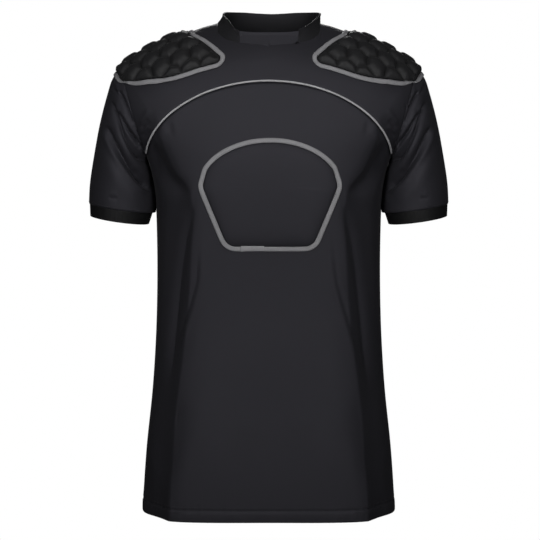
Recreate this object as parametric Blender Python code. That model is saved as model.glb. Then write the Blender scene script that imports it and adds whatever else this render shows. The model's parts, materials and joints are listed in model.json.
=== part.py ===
"""Padded short-sleeved rugby top, filled out as if worn, with neck, cuffs and hem open.

The origin lies midway between the two neck points of the shoulder seams, where the wearer
carries it. +Z is up, the front faces -Y and the wearer's left is at +X. Sizes are in metres.
"""
import math
from bisect import bisect_right
from collections import namedtuple

import bmesh
import bpy
from mathutils import Vector

# Cloth
WALL = 0.0018               # stretch knit with its backing
SEAM = 0.0003               # gap that parts two pieces where they are sewn
REST = 0.0007               # lift of a tape or the chest pad over the cloth that carries it
PAD_REST = 0.0014           # lift of a shoulder pad, whose flat cells bridge the round shoulder
SAME_PLACE = 0.00001        # points nearer than this are merged

# Body
HEM_HEIGHT = -0.680
BODY_SQUARENESS = 2.5       # exponent of the body's rings: 2 is an ellipse, more is squarer
SIDE_SEAM_SHARE = 0.9995    # share of the half width from which a point counts as on the side seam
NECK_HALF_WIDTH = 0.080     # neck points of the shoulder seams
NECK_POINT_HEIGHT = -0.003
NECK_SQUARENESS = 2.7
FRONT_NECK_DROP = 0.0250
BACK_NECK_DROP = 0.0120
SHOULDER_SLOPE = 0.21       # fall of the shoulder seam per unit of width at the neck
SHOULDER_CURVE = 2.0        # how much steeper the seam gets towards the arm, per metre
SHOULDER_HALF_WIDTH = 0.204
SHOULDER_ROUND = 0.066      # height over which the shoulder rounds from seam to chest
ARMPIT_HEIGHT = -0.187

# Piped seam across the chest: half an ellipse that ends at the sides under the arms
ARC_CROWN_HEIGHT = -0.0765
ARC_END_HEIGHT = -0.190
PIPING_RADIUS = 0.0016
PIPING_REACH = 0.89         # share of the seam that is piped

# Cuffs
CUFF_LENGTH = 0.0165
CUFF_STEP = 0.0013          # how far the elastic draws in from the sleeve at their seam
CUFF_DRAW = 0.0042          # and at its lower edge

# Pads and tapes
TAPE_WIDTH = 0.0062
TAPE_THICKNESS = 0.0014
CELL_PITCH = 0.0300         # six-sided foam cells, centre to centre
CELL_HEIGHT = 0.0072
CELL_MERGE = 0.0009         # corners of cells nearer than this are one corner
SMALLEST_CELL = 0.00012     # area under which a cut cell is joined to its neighbour
GROOVE_HEIGHT = 0.0026
PAD_EDGE_HEIGHT = 0.0020
CHEST_PAD_HEIGHT = 0.0046
CHEST_ARC_HEIGHT = -0.219   # where the chest pad is widest
CHEST_HALF_WIDTH = 0.0947
CHEST_SHIFT = 0.0020        # the pad sits a little to the wearer's left
CHEST_TOP_HEIGHT = -0.156
CHEST_FOOT_HEIGHT = -0.304
CHEST_FOOT_HALF_WIDTH = 0.0600
CHEST_FOOT_ROUND = 0.020
CHEST_SIDE_ROUND = 0.022

# Grid counts
NECK_COLUMNS = 4
SHOULDER_COLUMNS = 4
ARMHOLE_COLUMNS = 9
HALF_COLUMNS = NECK_COLUMNS + SHOULDER_COLUMNS + ARMHOLE_COLUMNS
NECK_TURN = math.radians(32)        # share of the half turn round the body under the neckline
SHOULDER_TURN = math.radians(60)    # and as far as the shoulder point
SLEEVE_COLUMNS = 4 * ARMHOLE_COLUMNS
PIPING_POINTS = 47
FRONT_ROWS = 15
YOKE_ROWS = 6
BACK_ROWS = 18
SLEEVE_ROWS = 12
CUFF_ROWS = 2
COLLAR_ROWS = 3
COLLAR_FRONT_COLUMNS = 8
COLLAR_BAND_COLUMNS = 36

TorsoRing = namedtuple("TorsoRing", "height half_width front_depth back_depth")
TORSO_RINGS = (
    TorsoRing(-0.700, 0.1790, 0.1120, 0.1190),
    TorsoRing(-0.640, 0.1755, 0.1115, 0.1190),
    TorsoRing(-0.580, 0.1710, 0.1090, 0.1140),
    TorsoRing(-0.520, 0.1640, 0.1060, 0.1040),
    TorsoRing(-0.430, 0.1580, 0.1040, 0.0900),
    TorsoRing(-0.340, 0.1560, 0.1060, 0.0880),
    TorsoRing(-0.270, 0.1570, 0.1120, 0.0980),
    TorsoRing(-0.225, 0.1590, 0.1160, 0.1060),
    TorsoRing(-0.192, 0.1665, 0.1170, 0.1100),
    TorsoRing(-0.160, 0.1920, 0.1160, 0.1110),
    TorsoRing(-0.124, 0.2140, 0.1120, 0.1100),
    TorsoRing(-0.085, 0.2270, 0.1020, 0.1040),
    TorsoRing(-0.040, 0.2420, 0.0850, 0.0860),
    TorsoRing(0.000, 0.2550, 0.0680, 0.0640),
    TorsoRing(0.040, 0.2650, 0.0560, 0.0500),
)

SleeveRing = namedtuple("SleeveRing", "place outer_x outer_z inner_x inner_z half_depth")
SLEEVE_RINGS = (
    SleeveRing(1, 0.2170, -0.0730, 0.1690, -0.1970, 0.0665),
    SleeveRing(2, 0.2265, -0.1050, 0.1672, -0.2085, 0.0655),
    SleeveRing(3, 0.2355, -0.1400, 0.1652, -0.2200, 0.0640),
    SleeveRing(4, 0.2430, -0.1800, 0.1632, -0.2330, 0.0625),
    SleeveRing(5, 0.2495, -0.2200, 0.1615, -0.2475, 0.0605),
    SleeveRing(6, 0.2510, -0.2490, 0.1604, -0.2620, 0.0585),
)

# Folds run straight in the front view, mirrored left and right. Depth is into the cloth.
Fold = namedtuple("Fold", "start_x start_z end_x end_z half_width depth")
FRONT_SLEEVE_FOLDS = (
    Fold(0.2050, -0.0990, 0.1790, -0.1450, 0.0120, 0.0030),
    Fold(0.2160, -0.1080, 0.1680, -0.2020, 0.0130, 0.0050),
    Fold(0.2130, -0.1300, 0.1850, -0.1900, 0.0120, -0.0020),
    Fold(0.2260, -0.1440, 0.1640, -0.2400, 0.0150, 0.0055),
    Fold(0.2330, -0.1780, 0.1800, -0.2480, 0.0130, -0.0018),
)
BACK_SLEEVE_FOLDS = (
    Fold(0.2080, -0.1040, 0.1780, -0.1600, 0.0130, 0.0036),
    Fold(0.2200, -0.1240, 0.1660, -0.2140, 0.0140, 0.0050),
    Fold(0.2310, -0.1600, 0.1680, -0.2420, 0.0140, 0.0036),
)
FRONT_BODY_FOLDS = (
    Fold(0.1020, -0.3450, 0.1300, -0.4600, 0.0220, 0.0030),
    Fold(0.1180, -0.5200, 0.1480, -0.6400, 0.0260, 0.0030),
    Fold(0.0700, -0.4200, 0.0840, -0.6200, 0.0340, -0.0022),
)
BACK_BODY_FOLDS = (
    Fold(0.1180, -0.2300, 0.0500, -0.3700, 0.0260, 0.0036),
    Fold(0.1300, -0.3300, 0.0400, -0.4200, 0.0240, 0.0042),
    Fold(0.0800, -0.4800, 0.1060, -0.6500, 0.0340, 0.0030),
)

# Outline of a shoulder pad on the flat, front half: along the seam from the neck point, and across it
PadCorner = namedtuple("PadCorner", "along across round")
PAD_NECK_END = PadCorner(0.0305, 0.0, 0.040)
PAD_NECK_BEND = PadCorner(0.0245, 0.0344, 0.030)
PAD_CORNERS = (
    PadCorner(-0.0280, 0.1090, 0.011),
    PadCorner(0.0620, 0.1105, 0.110),
    PadCorner(0.1430, 0.0620, 0.030),
)
PAD_ARM_END = PadCorner(0.1510, 0.0, 0.060)

# Rings of a raised pad, edge first: scale of the ring before in a cell, of the edge on the chest pad
DomeRing = namedtuple("DomeRing", "scale height")
CELL_DOME = (DomeRing(0.80, 0.62), DomeRing(0.62, 1.0))
CHEST_DOME = (
    DomeRing(1.0, 0.28),
    DomeRing(0.92, 0.75),
    DomeRing(0.76, 1.0),
    DomeRing(0.38, 1.0),
    DomeRing(0.0, 1.0),
)

CollarSection = namedtuple("CollarSection", "turn top_x top_y top_z")
COLLAR_SECTIONS = (
    CollarSection(-22.5, -0.0405, -0.0590, -0.0100),
    CollarSection(0.0, 0.0000, -0.0655, -0.0120),
    CollarSection(22.5, 0.0405, -0.0590, -0.0100),
    CollarSection(56.0, 0.0560, -0.0400, 0.0020),
    CollarSection(90.0, 0.0675, -0.0040, 0.0140),
    CollarSection(135.0, 0.0500, 0.0340, 0.0135),
    CollarSection(180.0, 0.0000, 0.0480, 0.0105),
    CollarSection(225.0, -0.0500, 0.0340, 0.0135),
)
COLLAR_HOLLOW = 0.0030      # how far the sides and back bow in between seam and top edge
COLLAR_LEAN = 0.0045        # the top edge sits this far to the wearer's left
COLLAR_SEAM_TURN = 22.5     # degrees from the front centre to the seams of the front piece
FRONT, BACK = -1, 1

FINISHES = {
    "knit": ((0.026, 0.026, 0.030, 1.0), 0.58),
    "collar knit": ((0.012, 0.012, 0.013, 1.0), 0.66),
    "elastic": ((0.010, 0.010, 0.011, 1.0), 0.62),
    "pad cloth": ((0.018, 0.018, 0.020, 1.0), 0.52),
    "grey tape": ((0.190, 0.188, 0.195, 1.0), 0.60),
}


def clear_scene():
    for item in list(bpy.data.objects):
        bpy.data.objects.remove(item, do_unlink=True)


def along_table(rows, place, column):
    """Value of a column at a place, on a smooth curve through the table's rows."""
    places = [row[0] for row in rows]
    values = [getattr(row, column) for row in rows]
    last = len(rows) - 1
    place = min(max(place, places[0]), places[last])
    low = min(max(bisect_right(places, place) - 1, 0), last - 1)
    high = low + 1

    def slope(index):
        before, after = max(index - 1, 0), min(index + 1, last)
        return (values[after] - values[before]) / (places[after] - places[before])

    span = places[high] - places[low]
    t = (place - places[low]) / span
    return ((1 + 2 * t) * (1 - t) ** 2 * values[low] + t * (1 - t) ** 2 * span * slope(low)
            + t * t * (3 - 2 * t) * values[high] - t * t * (1 - t) * span * slope(high))


def smooth_step(t):
    t = min(max(t, 0.0), 1.0)
    return t * t * (3 - 2 * t)


def mix(start, end, t):
    return start + (end - start) * t


# The form: the outer face of the cloth, as a depth in front of or behind the plane of the seams

def ridge_height(x):
    run = abs(x) - NECK_HALF_WIDTH
    return NECK_POINT_HEIGHT - SHOULDER_SLOPE * run - SHOULDER_CURVE * max(run, 0.0) ** 2


def torso_depth(x, z, side):
    half_width = along_table(TORSO_RINGS, z, "half_width")
    depth = along_table(TORSO_RINGS, z, "front_depth" if side == FRONT else "back_depth")
    across = abs(x) / half_width
    across = across if across < SIDE_SEAM_SHARE else 1.0
    ring = (1 - across ** BODY_SQUARENESS) ** (1 / BODY_SQUARENESS)
    below = min(max((ridge_height(x) - z) / SHOULDER_ROUND, 0.0), 1.0)
    return depth * ring * math.sqrt(1 - (1 - below) ** 2)


def torso_out(point):
    """Way out of the body, from an upright sheet inside it."""
    core = along_table(TORSO_RINGS, point.z, "half_width") - along_table(TORSO_RINGS, point.z, "front_depth")
    middle = Vector((min(max(point.x, -core), core), 0.0, 0.0))
    middle.z = min(point.z, ridge_height(point.x) - SHOULDER_ROUND)
    return (point - middle).normalized()


def fold_depth(folds, x, z):
    """Sum of the folds at a place in the front view."""
    total = 0.0
    for fold in folds:
        run_x, run_z = fold.end_x - fold.start_x, fold.end_z - fold.start_z
        length = math.hypot(run_x, run_z)
        off_x, off_z = abs(x) - fold.start_x, z - fold.start_z
        t = (off_x * run_x + off_z * run_z) / length ** 2
        aside = abs(off_x * run_z - off_z * run_x) / length / fold.half_width
        if 0 < t < 1 and aside < 1:
            total += fold.depth * (1 - (2 * t - 1) ** 4) * (1 - aside ** 2) ** 2
    return total


def torso_skin(x, z, side):
    """Outer face of the body's cloth, with its folds."""
    point = Vector((x, side * (torso_depth(x, z, side) + SEAM / 2), z))
    folds = FRONT_BODY_FOLDS if side == FRONT else BACK_BODY_FOLDS
    return point - torso_out(point) * fold_depth(folds, x, z)


SHOULDER_POINT = Vector((SHOULDER_HALF_WIDTH, 0.0, ridge_height(SHOULDER_HALF_WIDTH)))
ARMPIT = Vector((along_table(TORSO_RINGS, ARMPIT_HEIGHT, "half_width"), 0.0, ARMPIT_HEIGHT))
ARMHOLE_OUT = Vector((SHOULDER_POINT.z - ARMPIT.z, 0.0, ARMPIT.x - SHOULDER_POINT.x)).normalized()


def half_turn(u):
    """Column place u from 0 at the centre to 1 at the side: turn round the body, and cut edge reached."""
    column = u * HALF_COLUMNS
    if column <= NECK_COLUMNS:
        t = column / NECK_COLUMNS
        return mix(0.0, NECK_TURN, t), "neck", t
    if column <= NECK_COLUMNS + SHOULDER_COLUMNS:
        t = (column - NECK_COLUMNS) / SHOULDER_COLUMNS
        return mix(NECK_TURN, SHOULDER_TURN, t), "shoulder", t
    t = (column - NECK_COLUMNS - SHOULDER_COLUMNS) / ARMHOLE_COLUMNS
    return mix(SHOULDER_TURN, math.pi / 2, t), "armhole", t


def neckline(turn, side):
    """Neckline in the front view, from the centre to the neck point at a quarter turn."""
    power = 2 / NECK_SQUARENESS
    drop = FRONT_NECK_DROP if side == FRONT else BACK_NECK_DROP
    x = NECK_HALF_WIDTH * max(math.sin(turn), 0.0) ** power
    return x, NECK_POINT_HEIGHT - drop * max(math.cos(turn), 0.0) ** power


def top_edge(u, side):
    """Upper cut edge of the yoke or back in the front view."""
    _, part, t = half_turn(u)
    if part == "neck":
        return neckline(t * math.pi / 2, side)
    if part == "shoulder":
        x = mix(NECK_HALF_WIDTH, SHOULDER_HALF_WIDTH, t)
        return x, ridge_height(x)
    t = (1 - math.cos(t * math.pi)) / 2
    return mix(SHOULDER_POINT.x, ARMPIT.x, t), mix(SHOULDER_POINT.z, ARMPIT.z, t)


def arc_edge(u, shift):
    """Piped seam in the front view, raised by shift, with its ends on the side seams."""
    turn, _, _ = half_turn(u)
    z = ARC_END_HEIGHT + (ARC_CROWN_HEIGHT - ARC_END_HEIGHT) * math.cos(turn)
    half_width = along_table(TORSO_RINGS, ARC_END_HEIGHT, "half_width")
    share = half_width * math.sin(turn) / along_table(TORSO_RINGS, z, "half_width")
    return share * along_table(TORSO_RINGS, z + shift, "half_width"), z + shift


def hem_edge(u):
    turn, _, _ = half_turn(u)
    half_width = along_table(TORSO_RINGS, HEM_HEIGHT, "half_width")
    return half_width * math.sin(turn) ** (2 / BODY_SQUARENESS), HEM_HEIGHT


def body_column(u, v, low, high, side):
    """Place on a column that keeps its share of the body's width while it climbs from low to high."""
    low_share = low[0] / along_table(TORSO_RINGS, low[1], "half_width")
    high_share = high[0] / along_table(TORSO_RINGS, high[1], "half_width")
    z = mix(low[1], high[1], v)
    share = mix(low_share, high_share, smooth_step(v))
    return torso_skin(min(share, 1.0) * along_table(TORSO_RINGS, z, "half_width"), z, side)


def mirrored(u):
    """Grid place 0 to 1 across the whole body as a side and a place from centre to side seam."""
    return (1.0 if u >= 0.5 else -1.0), abs(2 * u - 1)


def to_side(point, sign):
    return Vector((point.x * sign, point.y, point.z))


def front_skin(u, v):
    sign, u = mirrored(u)
    return to_side(body_column(u, v, hem_edge(u), arc_edge(u, -SEAM / 2), FRONT), sign)


def climb(low, high, v, side):
    """Straight way in the front view, with closer rows towards the rounded shoulder."""
    t = math.sin(v * math.pi / 2)
    return torso_skin(mix(low[0], high[0], t), mix(low[1], high[1], t), side)


def yoke_skin(u, v):
    sign, u = mirrored(u)
    return to_side(climb(arc_edge(u, SEAM / 2), top_edge(u, FRONT), v, FRONT), sign)


BACK_TURN_SHARE = 0.62      # share of the back's rows below the level of the armpits


def back_skin(u, v):
    sign, u = mirrored(u)
    middle = arc_edge(u, 0.0)
    if v <= BACK_TURN_SHARE:
        return to_side(body_column(u, v / BACK_TURN_SHARE, hem_edge(u), middle, BACK), sign)
    rise = (v - BACK_TURN_SHARE) / (1 - BACK_TURN_SHARE)
    return to_side(climb(middle, top_edge(u, BACK), rise, BACK), sign)


def sleeve_ring(place):
    """Outer and inner ends of a sleeve ring and its half depth; place 0 is the armhole seam."""
    if place <= SLEEVE_RINGS[0].place:
        first = SLEEVE_RINGS[0]
        t = place / first.place
        outer = SHOULDER_POINT + ARMHOLE_OUT * SEAM
        inner = ARMPIT + ARMHOLE_OUT * SEAM
        return (outer.lerp(Vector((first.outer_x, 0.0, first.outer_z)), t),
                inner.lerp(Vector((first.inner_x, 0.0, first.inner_z)), t), first.half_depth)
    values = {name: along_table(SLEEVE_RINGS, place, name) for name in SleeveRing._fields[1:]}
    return (Vector((values["outer_x"], 0.0, values["outer_z"])),
            Vector((values["inner_x"], 0.0, values["inner_z"])), values["half_depth"])


SEAM_BLEND = 1.5            # rings over which the armhole's shape gives way to an ellipse


def sleeve_depth(place, share, side):
    """Depth of a sleeve ring at a share of its width, from 0 at the outer end to 1 at the inner end."""
    _, _, half_depth = sleeve_ring(place)
    round_depth = half_depth * math.sqrt(max(1 - (2 * share - 1) ** 2, 0.0))
    seam = SHOULDER_POINT.lerp(ARMPIT, share)
    return mix(torso_depth(seam.x, seam.z, side), round_depth, smooth_step(place / SEAM_BLEND))


def sleeve_form(place, turn):
    """Smooth sleeve: the turn runs from the outer end, forwards, round to the outer end again."""
    outer, inner, _ = sleeve_ring(place)
    side = FRONT if math.sin(turn) >= 0 else BACK
    share = (1 - math.cos(turn)) / 2
    point = outer.lerp(inner, share)
    point.y = side * sleeve_depth(place, share, side)
    return point


def sleeve_out(place, point):
    outer, inner, _ = sleeve_ring(place)
    return (point - (outer + inner) / 2).normalized()


def sleeve_skin(place, turn):
    point = sleeve_form(place, turn)
    folds = FRONT_SLEEVE_FOLDS if math.sin(turn) > 0 else BACK_SLEEVE_FOLDS
    return point - sleeve_out(place, point) * fold_depth(folds, point.x, point.z)


# Making solids

def add_object(name, mesh_data, finish):
    item = bpy.data.objects.new(name, mesh_data)
    mesh_data.materials.append(finish)
    bpy.data.collections["rugby_body_armour"].objects.link(item)
    return item


def make_finish(name):
    colour, roughness = FINISHES[name]
    finish = bpy.data.materials.new(name)
    finish.use_nodes = True
    shader = finish.node_tree.nodes["Principled BSDF"]
    shader.inputs["Base Color"].default_value = colour
    shader.inputs["Roughness"].default_value = roughness
    shader.inputs["Metallic"].default_value = 0.0
    return finish


def to_object(name, cage, finish):
    bmesh.ops.recalc_face_normals(cage, faces=cage.faces[:])
    mesh_data = bpy.data.meshes.new(name)
    cage.to_mesh(mesh_data)
    cage.free()
    mesh_data.shade_smooth()
    mesh_data.set_sharp_from_angle(angle=math.radians(50))
    return add_object(name, mesh_data, finish)


def cloth_wall(name, columns, rows, skin, finish, out=None, wall=WALL):
    """A grid laid on skin(u, v), with a copy moved inwards and the two joined round the edge.

    Columns or rows that meet, as on a tube or at the middle of a disc, are merged.
    """
    cage = bmesh.new()
    bmesh.ops.create_grid(cage, x_segments=columns, y_segments=rows, size=1.0)
    ways = cage.verts.layers.float_vector.new("way out")
    for vert in cage.verts:
        u, v = (vert.co.x + 1) / 2, (vert.co.y + 1) / 2
        vert.co = skin(u, v)
        vert[ways] = out(u, v, vert.co) if out else torso_out(vert.co)
    bmesh.ops.remove_doubles(cage, verts=cage.verts[:], dist=SAME_PLACE)
    inside = bmesh.ops.extrude_face_region(cage, geom=cage.faces[:], use_keep_orig=True)
    for vert in inside["geom"]:
        if isinstance(vert, bmesh.types.BMVert):
            vert.co -= vert[ways] * wall
    return to_object(name, cage, finish)


def make_body(finishes):
    columns = 2 * HALF_COLUMNS
    cloth_wall("front_panel", columns, FRONT_ROWS, front_skin, finishes["knit"])
    cloth_wall("yoke", columns, YOKE_ROWS, yoke_skin, finishes["knit"])
    cloth_wall("back_panel", columns, BACK_ROWS, back_skin, finishes["knit"])


def make_sleeve(name, sign, finishes):
    last = SLEEVE_RINGS[-1].place

    def skin(u, v):
        return to_side(sleeve_skin(v * last, u * 2 * math.pi), sign)

    def out(u, v, point):
        return to_side(sleeve_out(v * last, to_side(point, sign)), sign)

    cloth_wall(name, SLEEVE_COLUMNS, SLEEVE_ROWS, skin, finishes["knit"], out)


def make_cuff(name, sign, finishes):
    """Elastic band below the sleeve's end, drawn in a little, its rings level with the sleeve's last."""
    outer, inner, half_depth = sleeve_ring(SLEEVE_RINGS[-1].place)
    middle = (outer + inner) / 2
    axis = Vector((inner.z - outer.z, 0.0, outer.x - inner.x)).normalized()
    half_width = (outer - inner).length / 2

    def ring(u, v):
        turn = u * 2 * math.pi
        draw = mix(CUFF_STEP, CUFF_DRAW, v)
        across = (outer - inner).normalized() * ((half_width - draw) * math.cos(turn))
        point = middle + across - axis * (SEAM + v * CUFF_LENGTH)
        point.y = -(half_depth - draw) * math.sin(turn)
        return point

    def skin(u, v):
        return to_side(ring(u, v), sign)

    def out(u, v, point):
        way = to_side(point, sign) - (middle - axis * (SEAM + v * CUFF_LENGTH))
        return to_side(way.normalized(), sign)

    cloth_wall(name, SLEEVE_COLUMNS, CUFF_ROWS, skin, finishes["elastic"], out)


def neck_corner(turn):
    """Corner of the cut neckline, at a turn from the front centre to the back centre."""
    side = FRONT if turn <= 90 else BACK
    x, z = neckline(math.radians(turn if side == FRONT else 180 - turn), side)
    return Vector((x, side * torso_depth(x, z, side), z))


def collar_place(turn, v):
    """Stand collar over the neckline, whose straight cuts between corners it follows."""
    cut = 90 / NECK_COLUMNS
    before = min(math.floor(turn / cut), 2 * NECK_COLUMNS - 1) * cut
    low = neck_corner(before).lerp(neck_corner(before + cut), (turn - before) / cut)
    high = Vector([along_table(COLLAR_SECTIONS, turn, axis) for axis in ("top_x", "top_y", "top_z")])
    low += (high - low).normalized() * SEAM
    hollow = COLLAR_HOLLOW * 4 * v * (1 - v) * smooth_step(turn / 90)
    return low.lerp(high, v) - Vector((low.x, low.y, 0.0)).normalized() * hollow


def collar_skin(sign, turn, v):
    point = to_side(collar_place(turn, v), sign)
    point.x += COLLAR_LEAN * v * smooth_step(turn / 90)
    return point


def collar_out(turn, v):
    """Way out of the collar, square to its run and its height."""
    step = 2.0
    run = collar_place(min(turn + step, 180), v) - collar_place(max(turn - step, 0), v)
    rise = collar_place(turn, 1.0) - collar_place(turn, 0.0)
    return run.cross(rise).normalized()


def make_collar(finishes):
    seam_gap = 0.25             # degrees that part the front piece from the band at each seam
    start = COLLAR_SEAM_TURN + seam_gap

    def signed_turn(degrees):
        sign = 1.0 if degrees >= 0 else -1.0
        return sign, abs(degrees)

    def front_turn(u):
        return signed_turn(mix(-COLLAR_SEAM_TURN, COLLAR_SEAM_TURN, u))

    def band_turn(u):
        degrees = mix(start, 360 - start, u)
        return signed_turn(degrees if degrees <= 180 else degrees - 360)

    for name, turn_at, columns, finish in (
            ("collar_front", front_turn, COLLAR_FRONT_COLUMNS, "knit"),
            ("collar_band", band_turn, COLLAR_BAND_COLUMNS, "collar knit")):
        def skin(u, v, turn_at=turn_at):
            sign, turn = turn_at(u)
            return collar_skin(sign, turn, v)

        def out(u, v, point, turn_at=turn_at):
            sign, turn = turn_at(u)
            return to_side(collar_out(turn, v), sign)

        cloth_wall(name, columns, COLLAR_ROWS, skin, finishes[finish], out)


# Shoulder pads: drawn flat, along the shoulder seam and across it, then laid over the shoulder

def depth_at(x, z, side):
    """Depth of the whole form in the front view, on the body or on the sleeve beyond the armhole."""
    beyond = (Vector((x, 0.0, z)) - SHOULDER_POINT).dot(ARMHOLE_OUT)
    if beyond <= 0:
        return torso_depth(x, z, side)
    low, high = 0.0, SLEEVE_RINGS[-1].place
    for _ in range(24):
        place = (low + high) / 2
        outer, inner, _ = sleeve_ring(place)
        run = outer - inner
        over = (x - inner.x) * run.z - (z - inner.z) * run.x
        low, high = (place, high) if over > 0 else (low, place)
    outer, inner, _ = sleeve_ring(low)
    run = inner - outer
    share = ((x - outer.x) * run.x + (z - outer.z) * run.z) / run.length_squared
    return sleeve_depth(low, min(max(share, 0.0), 1.0), side)


def ridge_place(along):
    """Point of the shoulder line at a length from the neck point, and the way down the cloth from it."""
    steps = 60
    shoulder_way = (ARMPIT - SHOULDER_POINT).normalized()
    travelled = 0.0
    last_point = Vector((NECK_HALF_WIDTH, 0.0, NECK_POINT_HEIGHT))
    if along <= 0:
        x = NECK_HALF_WIDTH + along
        return Vector((x, 0.0, ridge_height(x))), Vector((0.0, 0.0, -1.0))
    for index in range(1, 2 * steps + 1):
        if index <= steps:
            t = index / steps
            x = mix(NECK_HALF_WIDTH, SHOULDER_HALF_WIDTH, t)
            point, way = Vector((x, 0.0, ridge_height(x))), Vector((0, 0, -1)).lerp(shoulder_way, t)
        else:
            outer, inner, _ = sleeve_ring(2.0 * (index - steps) / steps)
            point, way = outer, inner - outer
        stretch = (point - last_point).length
        if travelled + stretch >= along:
            return last_point.lerp(point, (along - travelled) / stretch), way.normalized()
        travelled += stretch
        last_point = point
    return last_point, way.normalized()


def shoulder_place(along, across):
    """Point on the form at a length along the shoulder line and an arc length across it, front negative."""
    ridge, way = ridge_place(along)
    side = FRONT if across < 0 else BACK
    steps, reach, travelled = 30, 0.125, 0.0
    last_point = ridge
    for index in range(1, steps + 1):
        point = ridge + way * (reach * (index / steps) ** 2)
        point.y = side * depth_at(point.x, point.z, side)
        stretch = (point - last_point).length
        if travelled + stretch >= abs(across):
            return last_point.lerp(point, (abs(across) - travelled) / stretch)
        travelled += stretch
        last_point = point
    return last_point


def shoulder_out(along, across):
    step = 0.004
    run = shoulder_place(along + step, across) - shoulder_place(along - step, across)
    reach = shoulder_place(along, across + step) - shoulder_place(along, across - step)
    return run.cross(reach).normalized()


def on_shoulder(flat, sign, rest):
    """A point drawn flat, with its height over the cloth, laid over the shoulder."""
    point = shoulder_place(flat.x, flat.y) + shoulder_out(flat.x, flat.y) * (rest + flat.z)
    return to_side(point, sign)


def rounded_outline(corners, steps):
    """Points round a closed outline of (point, radius) corners, with an arc at each."""
    points = []
    count = len(corners)
    for index, (corner, radius) in enumerate(corners):
        before, after = corners[index - 1][0] - corner, corners[(index + 1) % count][0] - corner
        if radius == 0:
            points.append(corner)
            continue
        half = before.angle(after) / 2
        reach = radius / math.tan(half)
        start, end = corner + before.normalized() * reach, corner + after.normalized() * reach
        centre = corner + (before.normalized() + after.normalized()).normalized() * radius / math.sin(half)
        for step in range(steps + 1):
            ray = (start - centre).lerp(end - centre, step / steps).normalized()
            points.append(centre + ray * radius)
    return points


def pad_outline():
    """Outline of a shoulder pad on the flat: from the neck end down the front, and back up its mirror."""
    half = (PAD_NECK_BEND,) + PAD_CORNERS
    corners = [(PAD_NECK_END, -1)] + [(corner, -1) for corner in half]
    corners += [(PAD_ARM_END, 1)] + [(corner, 1) for corner in reversed(half)]
    return rounded_outline([(Vector((c.along, side * c.across, 0.0)), c.round) for c, side in corners], 12)


def spaced(points, count, closed=True):
    """The same line as count points at even lengths."""
    loop = points + [points[0]] if closed else points
    lengths = [(b - a).length for a, b in zip(loop, loop[1:])]
    gaps = count if closed else count - 1
    result, index, travelled = [], 0, 0.0
    for step in range(count):
        target = sum(lengths) * step / gaps
        while index < len(lengths) - 1 and travelled + lengths[index] < target:
            travelled += lengths[index]
            index += 1
        result.append(loop[index].lerp(loop[index + 1], (target - travelled) / lengths[index]))
    return result


Station = namedtuple("Station", "place aside")


def stations(outline, run_step=0.0180, turn_step=0.28):
    """Places round a closed flat outline, closer together on its bends, each with its way out."""
    fine = spaced(outline, 900)
    count = len(fine)
    runs = [(fine[(i + 1) % count] - fine[i - 1]).normalized() for i in range(count)]
    area = sum(fine[i - 1].x * fine[i].y - fine[i].x * fine[i - 1].y for i in range(count))
    costs = [(fine[i] - fine[i - 1]).length / run_step + runs[i].angle(runs[i - 1]) / turn_step
             for i in range(count)]
    share = sum(costs) / round(sum(costs))
    result, travelled = [], share
    for place, run, cost in zip(fine, runs, costs):
        travelled += cost
        if travelled >= share:
            travelled -= share
            aside = Vector((run.y, -run.x, 0.0))
            result.append(Station(place, aside if area > 0 else -aside))
    return result


def tape_ring(name, outline, lay, finish):
    """A flat tape sewn along a closed outline; lay(flat point) puts a point and its height on the cloth."""
    half = TAPE_WIDTH / 2
    profile = ((-half, 0.0), (-half, TAPE_THICKNESS), (half, TAPE_THICKNESS), (half, 0.0))
    count = len(outline)
    cage = bmesh.new()
    bmesh.ops.create_grid(cage, x_segments=count, y_segments=len(profile), size=1.0)
    for vert in cage.verts:
        station = outline[round((vert.co.x + 1) / 2 * count) % count]
        offset, height = profile[round((vert.co.y + 1) / 2 * len(profile)) % len(profile)]
        vert.co = lay(station.place + station.aside * offset + Vector((0.0, 0.0, height)))
    bmesh.ops.remove_doubles(cage, verts=cage.verts[:], dist=SAME_PLACE)
    return to_object(name, cage, finish)


def trim(cage, place, aside, nearest=1.0, farthest=-1.0):
    """Cut away what lies beyond a line on the flat, on cells whose middle is between two distances."""
    faces = [face for face in cage.faces if farthest < face.calc_center_median().y < nearest]
    edges = {edge for face in faces for edge in face.edges}
    verts = {vert for face in faces for vert in face.verts}
    geometry = [*verts, *edges, *faces]
    bmesh.ops.bisect_plane(cage, geom=geometry, plane_co=place, plane_no=aside, clear_outer=True)


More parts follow.
